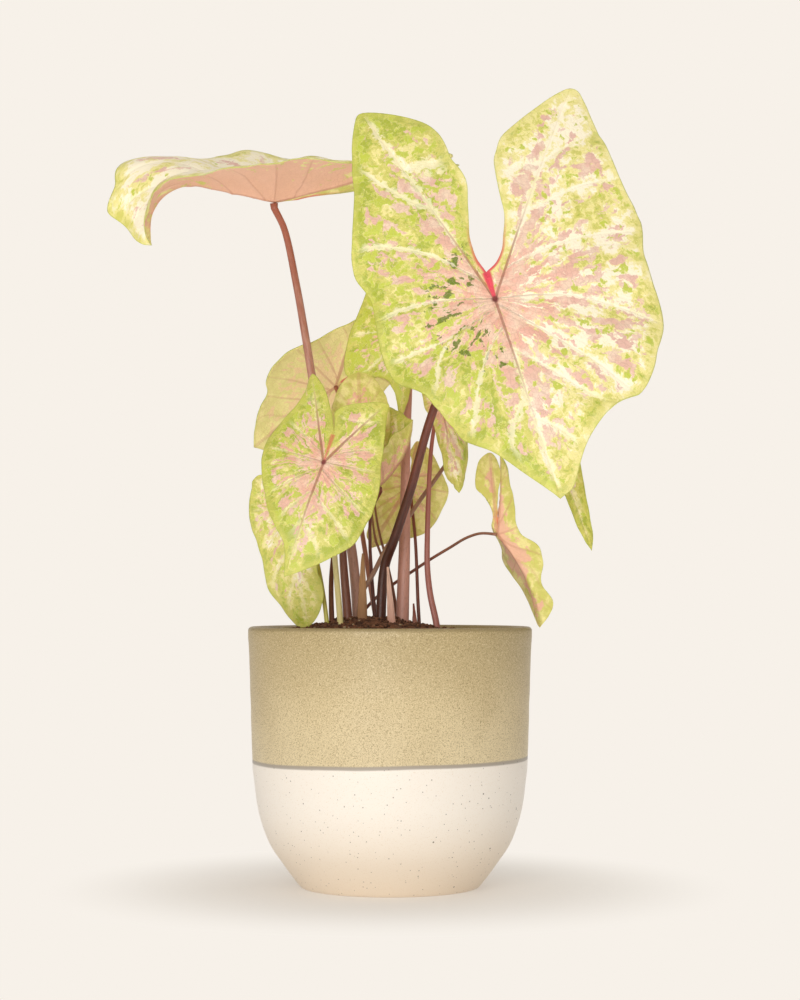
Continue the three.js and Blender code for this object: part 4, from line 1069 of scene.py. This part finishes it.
def upper_side(colours, sizes):
    """The variegated upper side: cream and green ground, pink patches, green splashes, pale veins."""
    tree, recipe, given, f = leaf_pattern("leaf_upper_side")
    fade, root = recipe.fade, recipe.root
    near, size, inset, streaks, patches = f.near, f.size, f.inset, f.streaks, f.patches
    margin = sizes.margin / MM
    edge = inset / root(size)

    # bands along the veins, wider and more ragged away from the joint
    ragged = patches(5, 60)
    width = fade(near, 8, 90, 0.6, 2.2) * root(size) * fade(ragged, 0.36, 0.64, 0.3, 1.5)
    width = recipe.math("MINIMUM", width, f.gap * 0.2)
    band = recipe.larger(fade(f.to_vein / width, 1.5, 0.6), fade(f.rib / width, 1.7, 0.8))
    band = band * fade(edge, 2.0, 14.0)

    # ground
    half = fade(f.b, -10, 10)
    lean = half * given.green_left + (1.0 - half) * given.green_right
    score = (
        blend(streaks(40, 5, 0, 4.0), patches(12, 5, 5.0, 0.7), 0.5) + lean
        + (patches(3.5, 55, 3.0) - 0.5) * size * 0.22
        + fade(edge, 2.5 * margin, 0.2 * margin, 0.0, 0.06) + band * -0.04 + fade(near, 20, 120, -0.02, 0.0)
    )
    colour = recipe.layers(
        colours.cream,
        (fade(score, 0.42, 0.48), colours.pale),
        (fade(score, 0.50, 0.55), colours.yellow_green),
        (fade(score, 0.57, 0.64), colours.green),
    )

    # pink
    score = (
        blend(streaks(40, 9, 11, 4.0), patches(9, 31, 5.0), 0.4) + given.pink
        + fade(near, 90, 10, 0.0, 0.06) + fade(near, 190, 120, -0.05, 0.0)
        + fade(f.rib / size, 22, 4, 0.0, 0.05) * fade(near, 150, 90)
        + fade(edge, 2.2 * margin, 0.5 * margin, 0.0, -0.12) + band * -0.08
    )
    pink = fade(score, 0.515, 0.54)
    tint = recipe.layers(
        colours.pink,
        (fade(near, 20, 80), colours.mauve),
        (fade(patches(14, 71), 0.4, 0.62, 0.0, 0.45), colours.cream),
    )
    colour = recipe.mix(pink * 0.94, colour, tint)

    # splashes and flecks
    splash = (
        patches(9, 23, 3.0, 0.55) + given.splash + fade(near, 10, 50, -0.08, 0.0)
        + band * -0.06 + lean * 0.5 + pink * -0.03
    )
    fleck = (
        blend(streaks(16, 8, 42), patches(8, 90, 2.0), 0.5) + given.fleck + lean * 1.2
        + fade(near, 70, 48, -0.2, 0.0) + fade(near, 12, 24, -0.2, 0.0)
    )
    colour = recipe.layers(
        colour,
        (fade(splash, 0.565, 0.58, 0.0, 0.6), colours.pale),
        (fade(splash, 0.575, 0.62) * 0.9, colours.splash),
        (fade(fleck, 0.655, 0.68) * 0.95, colours.dark_green),
    )

    # veins
    net = fade(f.net, 0.08, 0.02)
    thick = fade(near, 0, 110, 1.4, 0.7)
    colour = recipe.layers(
        colour,
        (band * given.bands, colours.cream),
        (net * pink * 0.22, colours.vein),
        (net * 0.08, colours.cream),
        (fade(f.to_fine, 0.5, 0.2) * fade(near, 60, 14, 0.0, 0.14), colours.vein),
        (fade(f.to_vein, 0.75, 0.3) * fade(near, 60, 12, 0.0, 0.5), colours.vein),
        (fade(f.rib / thick, 1.0, 0.5) * fade(near, 100, 20, 0.08, 0.8), colours.vein),
    )

    # margin, sinus and joint
    rim = fade(edge / (recipe.noise(f.place, 1 / 9, 3.0) * (2 * margin)), 1.05, 0.45)
    tone = recipe.layers(
        colours.pale,
        (half, colours.yellow_green),
        (fade(given.green_right, -0.02, 0.02), colours.yellow_green),
    )
    across = abs(f.b) / size**2.5
    wide = fade(f.a / given.sinus, 0.0, -1.0, 1.4, 3.4)
    bar = fade(across / wide, 1.2, 0.6) * fade(f.a, 0.5, -1.5) * fade(f.a + given.sinus, -0.5, 0.5)
    red = recipe.larger(fade(inset, 2.4, 1.0) * f.redness, bar) * given.red
    colour = recipe.layers(
        colour,
        (rim * 0.5, tone),
        (fade(inset, 0.8, 0.2, 0.0, 0.5), colours.green),
        (red, colours.red),
        (fade(near, 3.6, 1.4), colours.joint),
    )
    height = (
        net * -0.5 + fade(f.to_vein, 1.2, 0.3) * -0.8 + fade(f.to_fine, 1.4, 0.2) * -0.6
        + recipe.noise(f.place, 0.5, 3.0) + recipe.noise(f.place, 0.16, 2.0) * 2.0
    )
    recipe.node("NodeGroupOutput", {0: colour, 1: height})
    return tree


def underside(colours, sizes):
    """The duller underside: olive and brown pink, with raised ribs, and painted light where light would shine
    through the blade.
    """
    tree, recipe, given, f = leaf_pattern("leaf_underside")
    fade, near, inset = recipe.fade, f.near, f.inset
    margin = sizes.margin / MM
    score = (
        blend(f.streaks(26, 7, 11, 4.0), f.patches(8, 31, 5.0), 0.5) + given.below
        + fade(near, 90, 10, -0.02, 0.08) + fade(inset, 2.2 * margin, 0.6 * margin, 0.0, -0.2)
    )
    net = fade(f.net, 0.10, 0.02)
    colour = recipe.layers(
        colours.olive,
        (fade(f.patches(14, 3), 0.42, 0.6), colours.pale),
        (fade(score, 0.49, 0.55) * 0.9, colours.brown_pink),
        # painted light: a pale wash, by the light share, that stands in for light shining through the blade
        (given.light, colours.painted_through_light),
        (net * 0.12, colours.rib),
        (fade(f.to_vein, 1.2, 0.4) * fade(near, 110, 20, 0.15, 0.4), colours.rib),
        (fade(f.rib, 1.8, 0.8) * fade(near, 140, 25, 0.25, 0.65), colours.rib),
        (fade(inset, 2.5, 0.5, 0.0, 0.4), colours.yellow_green),
        (fade(inset, 2.2, 1.0) * f.redness * 0.8, colours.red),
    )
    height = net * 0.5 + fade(f.to_vein, 1.2, 0.3) + recipe.noise(f.place, 0.5, 3.0)
    recipe.node("NodeGroupOutput", {0: colour, 1: height})
    return tree


def leaf_material(name, tree, leaf, look, roughness):
    translucent = {"Subsurface Weight": 0.5, "Subsurface Radius": (1.0, 0.9, 0.7), "Subsurface Scale": 4 * MM}
    material, recipe, shader = new_material(name, roughness, **translucent)
    shader.subsurface_method = "BURLEY"
    green_left, green_right = look["green"]
    values = dict(look, green_left=green_left, green_right=green_right, sinus=-leaf["sinus"][0])
    inputs = {label: values[label] for label in GROUP_INPUTS}
    pattern = recipe.values(recipe.node("ShaderNodeGroup", inputs, node_tree=tree))
    dress(recipe, shader, pattern["Colour"], pattern["Height"], 0.25 * MM)
    return material


# ---------------------------------------------------------------- stalks, spears and sheaths
STALK_FOOT = 176  # height, inside the soil, at which a stalk ends
STALK_TOP = 1.3  # how far under its blade a stalk begins
STALK_STEP = 4  # between two rings of a stalk
FLARE_REACH = 5  # how far down from its top a stalk's flare has mostly gone
RIDGES, RIDGE = 3, 0.03  # soft ridges round a stalk, and their height as a share of its radius
SHEATH_FOOT = 178  # height, inside the soil, at which a sheath ends


def stalk_shape(path, top, foot, sides=20, flare=0.0, point=0.0):
    """A tapered tube along path in metres. flare widens its top, and point draws it to a tip."""
    points = [Vector(p) for p in path]
    bottom = points[-1]
    points.append(Vector((bottom.x, bottom.y, STALK_FOOT)))
    count = max(12, int(sum((q - p).length for p, q in zip(points, points[1:])) / STALK_STEP))
    line, length = evenly(points, count)
    shape = grid(count, sides)
    grain = shape.verts.layers.float_vector.new("grain")
    before = (line[1] - line[0]).normalized()
    normal = before.orthogonal().normalized()
    turns = []
    for i in range(count + 1):
        ahead = (line[min(i + 1, count)] - line[max(i - 1, 0)]).normalized()
        normal.rotate(before.rotation_difference(ahead))
        turns.append((normal.copy(), ahead.cross(normal)))
        before = ahead

    def place(vertex, x, y):
        step = round(x * count)
        share = step / count
        angle = 2 * math.pi * y
        radius = top + (foot - top) * share
        radius *= 1 + flare * math.exp(-share * length / FLARE_REACH)
        if point:
            radius *= smooth(share * length, -1, point) ** 0.6
        radius *= 1 + RIDGE * math.sin(RIDGES * angle + 5 * share)
        across, up = turns[step]
        vertex[grain] = (math.cos(angle), math.sin(angle), share * length)
        return (line[step] + (across * math.cos(angle) + up * math.sin(angle)) * radius) * MM

    relocate(shape, place)
    bmesh.ops.remove_doubles(shape, verts=shape.verts, dist=1e-6)
    rims = [edge for edge in shape.edges if edge.is_boundary]
    bmesh.ops.holes_fill(shape, edges=rims, sides=0)
    bmesh.ops.recalc_face_normals(shape, faces=shape.faces)
    return shape, length


def stalk_material(name, length):
    upper, lower, speckle = STALKS[name]
    upper, lower = hex_colour(upper), hex_colour(lower)
    material, recipe, shader = new_material(f"{name}_stalk_skin", 0.38)
    x, y, along = recipe.attribute("grain")
    shift = 13.0 * list(STALKS).index(name)

    def grain(across, length, detail, roughness):
        spot = recipe.vector(x * across, y * across, along * (1 / length) + shift)
        return recipe.noise(spot, 1.0, detail, roughness)

    skin, flecks = grain(1.6, 14, 4.0, 0.6), grain(4.0, 4, 3.0, 0.7)
    share = along * (1 / length) + (skin - 0.5) * 0.8
    colour = recipe.layers(
        upper,
        (recipe.fade(share, 0.0, 0.75), lower),
        (recipe.fade(flecks, 0.52, 0.66) * speckle, recipe.mix(0.65, lower, (0.05, 0.02, 0.015, 1.0))),
        (recipe.fade(flecks, 0.46, 0.34) * 0.3, upper),
    )
    dress(recipe, shader, colour, flecks, 0.12 * MM)
    return material


def sheath_shape(sheath):
    """A thin dry tongue, rolled round its own length, with a ragged tip."""
    foot, tip = Vector((*sheath["foot"], SHEATH_FOOT)), Vector(sheath["tip"])
    radius = sheath["radius"]
    shape = grid(40, 20)
    grain = shape.verts.layers.float_vector.new("grain")

    def place(vertex, x, y):
        centre = foot.lerp(tip, x)
        angle = 0.5 * sheath["width"] / radius * (1 - 0.85 * x**1.6) * (2 * y - 1)
        crinkle = 0.25 * noise.noise(Vector((6 * y, 14 * x, radius + foot.x)))
        bulge = 0.2 * radius * math.sin(math.pi * x)
        vertex[grain] = (math.cos(angle), math.sin(angle), x * (tip - foot).length)
        spot = Vector((radius * math.sin(angle), radius * (1 - math.cos(angle)) - bulge + crinkle, 0))
        return (centre + spot) * MM

    relocate(shape, place)
    bmesh.ops.recalc_face_normals(shape, faces=shape.faces)
    return shape


def sheath_material(sheath):
    name = sheath["name"]
    top, foot = SHEATH_TONES[name]
    material, recipe, shader = new_material(f"{name}_skin", 0.7)
    x, y, along = recipe.attribute("grain")
    fibre = recipe.noise(recipe.vector(x * 9.0, y * 9.0, along * 0.06), 1.0, 3.0, 0.6)
    up = along * (1 / (sheath["tip"][2] - SHEATH_FOOT)) + fibre * 0.3
    colour = recipe.layers(
        hex_colour(foot),
        (recipe.fade(up, 0.2, 1.0), hex_colour(top)),
        (recipe.fade(fibre, 0.5, 0.7, 0.0, 0.5), hex_colour("#5E3626")),
    )
    dress(recipe, shader, colour, fibre, 0.3 * MM)
    return material


# ---------------------------------------------------------------- pot and soil
OUTSIDE = [  # (height, radius)
    (0, 66), (4.5, 69.6), (12, 75.4), (19.5, 80.8), (27, 86), (34, 90), (41.5, 93.1), (49, 95.5),
    (56, 97.4), (64, 98.8), (78, 100.7), (93, 102), (123, 103), (152, 103.9), (182, 105),
]
WALL = 6
RIM, TOP = POT_HIGH.x / MM, POT_HIGH.z / MM
LIP = 3.0  # radius of the rounded lip
POT_STEPS, SOIL_STEPS = 144, 160  # faces round the pot and round the soil
SOIL_EDGE, SOIL_BOTTOM = 186, 130  # heights
SOIL_RINGS = 50  # from the middle of its top to the wall
SOIL_ROUGH = ((1.1, 5, 0), (0.8, 2.2, 9))  # height, width and place in the noise of its unevenness
SOIL_SINK = 0.4  # how far the bed lies under the crumbs
SOIL_GAP = 0.8  # between the soil and the wall
SOIL_MOUND = SimpleNamespace(x=-16, y=-4, height=13, spread=36)


def outside_radius(height):
    for (z0, r0), (z1, r1) in zip(OUTSIDE, OUTSIDE[1:]):
        if height <= z1:
            return r0 + (r1 - r0) * (height - z0) / (z1 - z0)
    return OUTSIDE[-1][1]


def turned(profile, steps):
    """A full turn of a profile of (radius, height) in mm, as a closed shape in metres."""
    shape = bmesh.new()
    chain = [shape.verts.new(Vector((r, 0, z)) * MM) for r, z in profile]
    edges = [shape.edges.new(pair) for pair in zip(chain, chain[1:])]
    bmesh.ops.spin(
        shape, geom=[*chain, *edges], cent=(0, 0, 0), axis=(0, 0, 1), steps=steps,
        angle=2 * math.pi, use_merge=True,
    )
    bmesh.ops.remove_doubles(shape, verts=shape.verts, dist=1e-6)
    bmesh.ops.recalc_face_normals(shape, faces=shape.faces)
    return shape


def pot_profile(finish):
    """Foot, belly and wall with faint throwing rings, a rounded lip and the inside."""
    points = [Vector((z, r)) for z, r in OUTSIDE]
    fine = [spline(points, i * 0.2) for i in range(5 * (len(points) - 1) + 1)]
    rings = finish.throwing / MM

    def radius(height):
        for here, there in zip(fine, fine[1:]):
            if height <= there.x:
                return here.y + (there.y - here.y) * (height - here.x) / max(there.x - here.x, 1e-6)
        return fine[-1].y

    foot = [(0, 2), (54, 2), (57, 1.6), (59, 0.4), (60.5, 0), (65, 0), (66.2, 0.5)]
    wall = [(radius(z) + rings * math.sin(z / 3.7) * math.sin(z / 17.0), z) for z in range(3, 181, 3)]
    bends = [math.radians(angle) for angle in range(15, 180, 15)]
    lip = [(RIM, TOP - 8), (RIM, TOP - LIP)]
    lip += [(RIM - LIP + LIP * math.cos(t), TOP - LIP + LIP * math.sin(t)) for t in bends]
    lip += [(RIM - WALL, TOP - LIP), (RIM - WALL - 0.4, TOP - 9)]
    inside = [(outside_radius(z) - WALL, z) for z in (176, 123, 78, 56, 41.5, 27, 19.5)]
    return [*foot, *wall, *lip, *inside, (66, 12), (56, 9), (0, 9)]


def pot_material(finish):
    """Speckled tan olive glaze over a cream one, which meet in a soft grey band."""
    material, recipe, shader = new_material("pot_glaze", 0.42)
    fade = recipe.fade
    place = recipe.place()
    x, _, z = recipe.parts(place)
    slant, waver, blur = 0.0152, 0.0022, 0.0009  # of the line between the glazes, in metres
    above = z - (x * slant + finish.line + (recipe.noise(place, 14.0, 2.0) - 0.5) * waver)
    upper = fade(above, -blur, blur)
    cloud = recipe.noise(place, 16.0, 2.0, 0.5)
    grains = recipe.noise(place, 1250.0, 3.0, 0.7)
    tan = recipe.layers(
        finish.upper,
        (fade(z, 0.12, 0.19, 0.0, 0.9), hex_colour("#BAA678")),
        (fade(cloud, 0.35, 0.65, 0.0, 0.5), hex_colour("#C9B486")),
        (fade(above, 0.05, 0.0, 0.0, 0.3), hex_colour("#F0E2BE")),
        (fade(grains, 0.5, 0.66, 0.0, 0.7), hex_colour("#836E44")),
        (fade(grains, 0.46, 0.34, 0.0, 0.5), hex_colour("#F6E8C4")),
    )
    colour = recipe.layers(
        finish.lower,
        (fade(z, 0.07, 0.0, 0.0, 0.8), hex_colour("#EEDCC4")),
        (fade(grains, 0.56, 0.7, 0.0, 0.4), hex_colour("#D9BE98")),
        (upper, tan),
        (fade(abs(above), 0.002, 0.0007, 0.0, 0.9), hex_colour("#A89E92")),
    )
    # small and large specks: cells to a metre, least size within a cell, and how dark
    for scale, small, share in ((330.0, 0.09, 0.6), (150.0, 0.055, 0.85)):
        cell = recipe.cells(place, scale)
        draw = recipe.parts(cell["Color"])
        radius = draw[1] * (0.8 * small) + small
        dots = fade(cell["Distance"] / radius, 1.2, 0.8) * fade(draw[0], 0.55, 0.56) * share
        colour = recipe.mix(dots * fade(upper, 0.0, 1.0, 1.0, 0.3), colour, finish.speck)
    lip = fade(z, POT_HIGH.z - 0.0035, POT_HIGH.z - 0.0015, 0.0, 0.45)
    colour = recipe.mix(lip, colour, hex_colour("#8B7A55"))
    recipe.feed(shader.inputs["Roughness"], fade(grains, 0.35, 0.65, 0.34, 0.5))
    dress(recipe, shader, colour, grains, 0.08 * MM)
    return material


def soil_height(x, y):
    mound = SOIL_MOUND
    away = (x - mound.x) ** 2 + (y - mound.y) ** 2
    rise = mound.height * math.exp(-away / (2 * mound.spread**2))
    lumps = 0.9 * math.sin(x / 7 + 1) * math.cos(y / 6) + 0.5 * math.sin(x / 3.1 - y / 4.3)
    edge = smooth(RIM - WALL - math.hypot(x, y), 0, 16)
    return SOIL_EDGE + (rise + lumps) * edge


def soil_shape():
    """The soil from half way down the pot up to its crumbly top."""
    wall, *below = (outside_radius(z) - WALL - SOIL_GAP for z in (182, 170, 150, SOIL_BOTTOM))
    top = [(i * wall / SOIL_RINGS, SOIL_EDGE) for i in range(1, SOIL_RINGS + 1)]
    side = list(zip(below, (170, 150, SOIL_BOTTOM)))
    shape = turned([(0, SOIL_EDGE), *top, *side, (0, SOIL_BOTTOM)], SOIL_STEPS)
    for vertex in shape.verts:
        x, y, z = vertex.co / MM
        if z > SOIL_EDGE - 0.01:
            edge = smooth(wall - math.hypot(x, y), 0, 4)
            rough = sum(height * noise.noise(Vector((x, y, at)) / width) for height, width, at in SOIL_ROUGH)
            vertex.co.z = (soil_height(x, y) + rough * edge - SOIL_SINK) * MM
    return shape


def scattered(count, sizes, seed, flatness=0.75):
    """Loose lumps on the soil, as one shape in metres."""
    draw = random.Random(seed)
    reach = RIM - WALL - 4
    shape = bmesh.new()
    for _ in range(count):
        angle, radius = 2 * math.pi * draw.random(), reach * math.sqrt(draw.random())
        x, y = radius * math.cos(angle), radius * math.sin(angle)
        size = draw.uniform(*sizes)
        made = bmesh.ops.create_icosphere(shape, subdivisions=1, radius=size * MM / 2)["verts"]
        for vertex in made:
            vertex.co *= draw.uniform(0.75, 1.2)
        stretch = (draw.uniform(0.7, 1.3), draw.uniform(0.7, 1.3), flatness)
        bmesh.ops.scale(shape, vec=stretch, verts=made)
        bmesh.ops.translate(shape, vec=Vector((x, y, soil_height(x, y) + 0.1 * size)) * MM, verts=made)
    return shape


def soil_material(name, dark, light):
    material, recipe, shader = new_material(name, 0.95)
    place = recipe.place()
    shade = recipe.noise(place, 160.0, 5.0, 0.7)
    fine = recipe.noise(place, 900.0, 3.0, 0.7)
    colour = recipe.mix(recipe.fade(shade, 0.38, 0.66), dark, light)
    colour = recipe.mix(recipe.fade(fine, 0.55, 0.7, 0.0, 0.5), colour, dark)
    dress(recipe, shader, colour, fine, 0.5 * MM)
    return material


# ---------------------------------------------------------------- stage
# Places are in metres here.
CAMERA = Vector((0.0074, -1.724, 0.2175))
CAMERA_TILT = 92.28  # 90 looks level
LIGHT_SIZE = 1.2
LIGHT_TINT = (1.0, 0.98, 0.95)
LIGHT_AIM = Vector((0, 0, 0.3))
FLOOR_RADIUS = 9.0
FLOOR_FADE = (0.08, 0.26)  # distances between which the floor turns into the backdrop


def add_camera(scene, focal):
    lens = bpy.data.cameras.new("camera")
    lens.lens = focal
    camera = bpy.data.objects.new("camera", lens)
    camera.location = CAMERA
    camera.rotation_euler = (math.radians(CAMERA_TILT), 0, 0)
    scene.collection.objects.link(camera)
    scene.camera = camera


def add_world(scene, settings):
    """A plain room whose light is strongest from the front and from behind."""
    world = bpy.data.worlds.new("room")
    world.use_nodes = True
    sky = world.node_tree.nodes["Background"]
    sky.inputs["Color"].default_value = settings.backdrop
    recipe = Recipe(world.node_tree)
    side, _, up = (abs(part) for part in recipe.parts(recipe.place("Generated")))
    upright = recipe.fade(up, 0.28, 0.5, 1.0, settings.high)
    recipe.feed(sky.inputs["Strength"], upright * recipe.fade(side, 0.25, 0.7, 1.0, settings.beside))
    scene.world = world


def add_light(scene, name, place, power):
    lamp = bpy.data.lights.new(name, "AREA")
    lamp.energy, lamp.size, lamp.color = power, LIGHT_SIZE, LIGHT_TINT
    light = bpy.data.objects.new(name, lamp)
    light.location = place
    light.rotation_euler = (LIGHT_AIM - Vector(place)).to_track_quat("-Z", "Y").to_euler()
    scene.collection.objects.link(light)


def add_floor(scene, settings):
    """A round floor that fades into the backdrop."""
    shape = bmesh.new()
    bmesh.ops.create_circle(shape, cap_ends=True, radius=FLOOR_RADIUS, segments=64)
    mesh = bpy.data.meshes.new("floor")
    shape.to_mesh(mesh)
    shape.free()
    floor = bpy.data.objects.new("floor", mesh)
    scene.collection.objects.link(floor)
    material, recipe, shader = new_material("floor_paint", 0.7)
    shader.inputs["Base Color"].default_value = settings.floor
    glow = recipe.node("ShaderNodeEmission", {0: settings.backdrop, 1: 1.0})
    share = recipe.fade(recipe.length(recipe.place()), *FLOOR_FADE, 0.35, 1.0)
    blended = recipe.node("ShaderNodeMixShader", {0: share, 1: shader.outputs[0], 2: glow.outputs[0]})
    output = next(node for node in recipe.tree.nodes if node.type == "OUTPUT_MATERIAL")
    recipe.feed(output.inputs[0], blended.outputs[0])
    mesh.materials.append(material)
    floor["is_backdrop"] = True


# ---------------------------------------------------------------- operators
class CALADIUM_OT_stage(bpy.types.Operator):
    """Sets the camera, the soft light and the floor"""

    bl_idname = "caladium.stage"
    bl_label = "Stage"

    def execute(self, context):
        scene, settings = context.scene, context.scene.caladium_stage
        scene.view_settings.view_transform = "Standard"
        add_camera(scene, settings.focal)
        add_world(scene, settings)
        add_light(scene, "key", (-0.5, -1.9, 0.65), settings.key)
        add_light(scene, "rim", (1.2, 1.3, 1.5), 0.25 * settings.key)
        add_floor(scene, settings)
        return {"FINISHED"}


class CALADIUM_OT_pot(bpy.types.Operator):
    """Turns the glazed pot"""

    bl_idname = "caladium.pot"
    bl_label = "Pot"

    def execute(self, context):
        finish = context.scene.caladium_pot
        new_piece(turned(pot_profile(finish), POT_STEPS), "glazed_pot", "pot", pot_material(finish))
        return {"FINISHED"}


class CALADIUM_OT_soil(bpy.types.Operator):
    """Fills the pot with crumbly soil and finishes the tubers in it"""

    bl_idname = "caladium.soil"
    bl_label = "Soil"

    def execute(self, context):
        finish = context.scene.caladium_soil
        size = finish.crumb / MM
        earth = soil_material("moist_soil", finish.dark, finish.light)
        pale = soil_material("pale_chips", hex_colour("#9C8464"), finish.chip)
        skin = soil_material("tuber_skin", hex_colour("#5A4230"), hex_colour("#9A7A58"))
        new_piece(soil_shape(), "soil_bed", "soil", earth)
        crumbs = scattered(finish.crumbs, (0.6 * size, 1.8 * size), seed=3)
        new_piece(crumbs, "soil_crumbs", None, earth, "soil")
        new_piece(scattered(60, (1.2, 3.4), seed=8, flatness=0.5), "soil_chips", None, pale, "soil")
        for name in ("tuber_left", "tuber_right"):
            node = frame["nodes"][name]
            node.data.materials.clear()
            node.data.materials.append(skin)
        return {"FINISHED"}


class CALADIUM_OT_blades(bpy.types.Operator):
    """Grows the thirteen waved and patterned blades"""

    bl_idname = "caladium.blades"
    bl_label = "Blades"

    def execute(self, context):
        colours, sizes = context.scene.caladium_leaf, context.scene.caladium_blade
        above, below = upper_side(colours, sizes), underside(colours, sizes)
        for leaf in LEAVES:
            name = leaf["name"]
            look = {**USUAL_LOOK, **LOOKS[name]}
            shape = blade_shape(leaf, look["size"], DETAIL[name], sizes)
            upper = leaf_material(f"{name}_upper_side", above, leaf, look, 0.45)
            piece = new_piece(shape, f"{name}_leaf", f"blade_{name}", upper)
            piece.data.materials.append(leaf_material(f"{name}_underside", below, leaf, look, 0.6))
            thicken(piece, sizes.blade, material_offset=1)
        return {"FINISHED"}


class CALADIUM_OT_stalks(bpy.types.Operator):
    """Grows the stalks and the rolled spears"""

    bl_idname = "caladium.stalks"
    bl_label = "Stalks"

    def execute(self, context):
        for leaf in LEAVES:
            name, sheet = leaf["name"], Sheet(leaf)
            top, foot = leaf["stalk_width"]
            path = [sheet.joint - sheet.face * under for under in (STALK_TOP, leaf["under"])] + leaf["path"]
            shape, length = stalk_shape(path, top, foot, flare=0.25)
            new_piece(shape, f"{name}_stalk", f"stalk_{name}", stalk_material(name, length))
        for spear in SPEARS:
            name = spear["name"]
            shape, length = stalk_shape(spear["path"], *spear["width"], sides=12, point=14)
            new_piece(shape, f"rolled_{name}", name, stalk_material(name, length))
        return {"FINISHED"}


class CALADIUM_OT_sheaths(bpy.types.Operator):
    """Adds the dry sheaths at the foot of the stalks"""

    bl_idname = "caladium.sheaths"
    bl_label = "Sheaths"

    def execute(self, context):
        for sheath in SHEATHS:
            name = sheath["name"]
            thicken(new_piece(sheath_shape(sheath), f"dry_{name}", name, sheath_material(sheath)), 0.7 * MM)
        return {"FINISHED"}


class CALADIUM_PT_panel(bpy.types.Panel):
    """Lists the pieces of the caladium"""

    bl_label = "Caladium"
    bl_space_type = "VIEW_3D"
    bl_region_type = "UI"
    bl_category = "Caladium"

    def draw(self, context):
        for operator in OPERATORS:
            self.layout.operator(operator.bl_idname)
        for name in SETTINGS:
            settings = getattr(context.scene, name)
            for key in settings.__annotations__:
                self.layout.prop(settings, key)


SETTINGS = {
    "caladium_leaf": LeafColours, "caladium_blade": LeafSizes, "caladium_pot": PotFinish,
    "caladium_soil": SoilFinish, "caladium_stage": StageSettings,
}
OPERATORS = [
    CALADIUM_OT_stage, CALADIUM_OT_pot, CALADIUM_OT_soil, CALADIUM_OT_blades, CALADIUM_OT_stalks,
    CALADIUM_OT_sheaths,
]


def register():
    for kind in (*SETTINGS.values(), *OPERATORS, CALADIUM_PT_panel):
        bpy.utils.register_class(kind)
    for name, kind in SETTINGS.items():
        setattr(bpy.types.Scene, name, bpy.props.PointerProperty(type=kind))


def unregister():
    for name in SETTINGS:
        delattr(bpy.types.Scene, name)
    for kind in (CALADIUM_PT_panel, *reversed(OPERATORS), *reversed(SETTINGS.values())):
        bpy.utils.unregister_class(kind)


def main():
    register()
    bpy.ops.caladium.stage()
    bpy.ops.caladium.pot()
    bpy.ops.caladium.soil()
    bpy.ops.caladium.blades()
    bpy.ops.caladium.stalks()
    bpy.ops.caladium.sheaths()
    boxes = {"cad": CAD_BOX, "visual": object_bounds()}
    plain = {name: [list(corner) for corner in box] for name, box in boxes.items()}


if __name__ == "__main__":
    main()
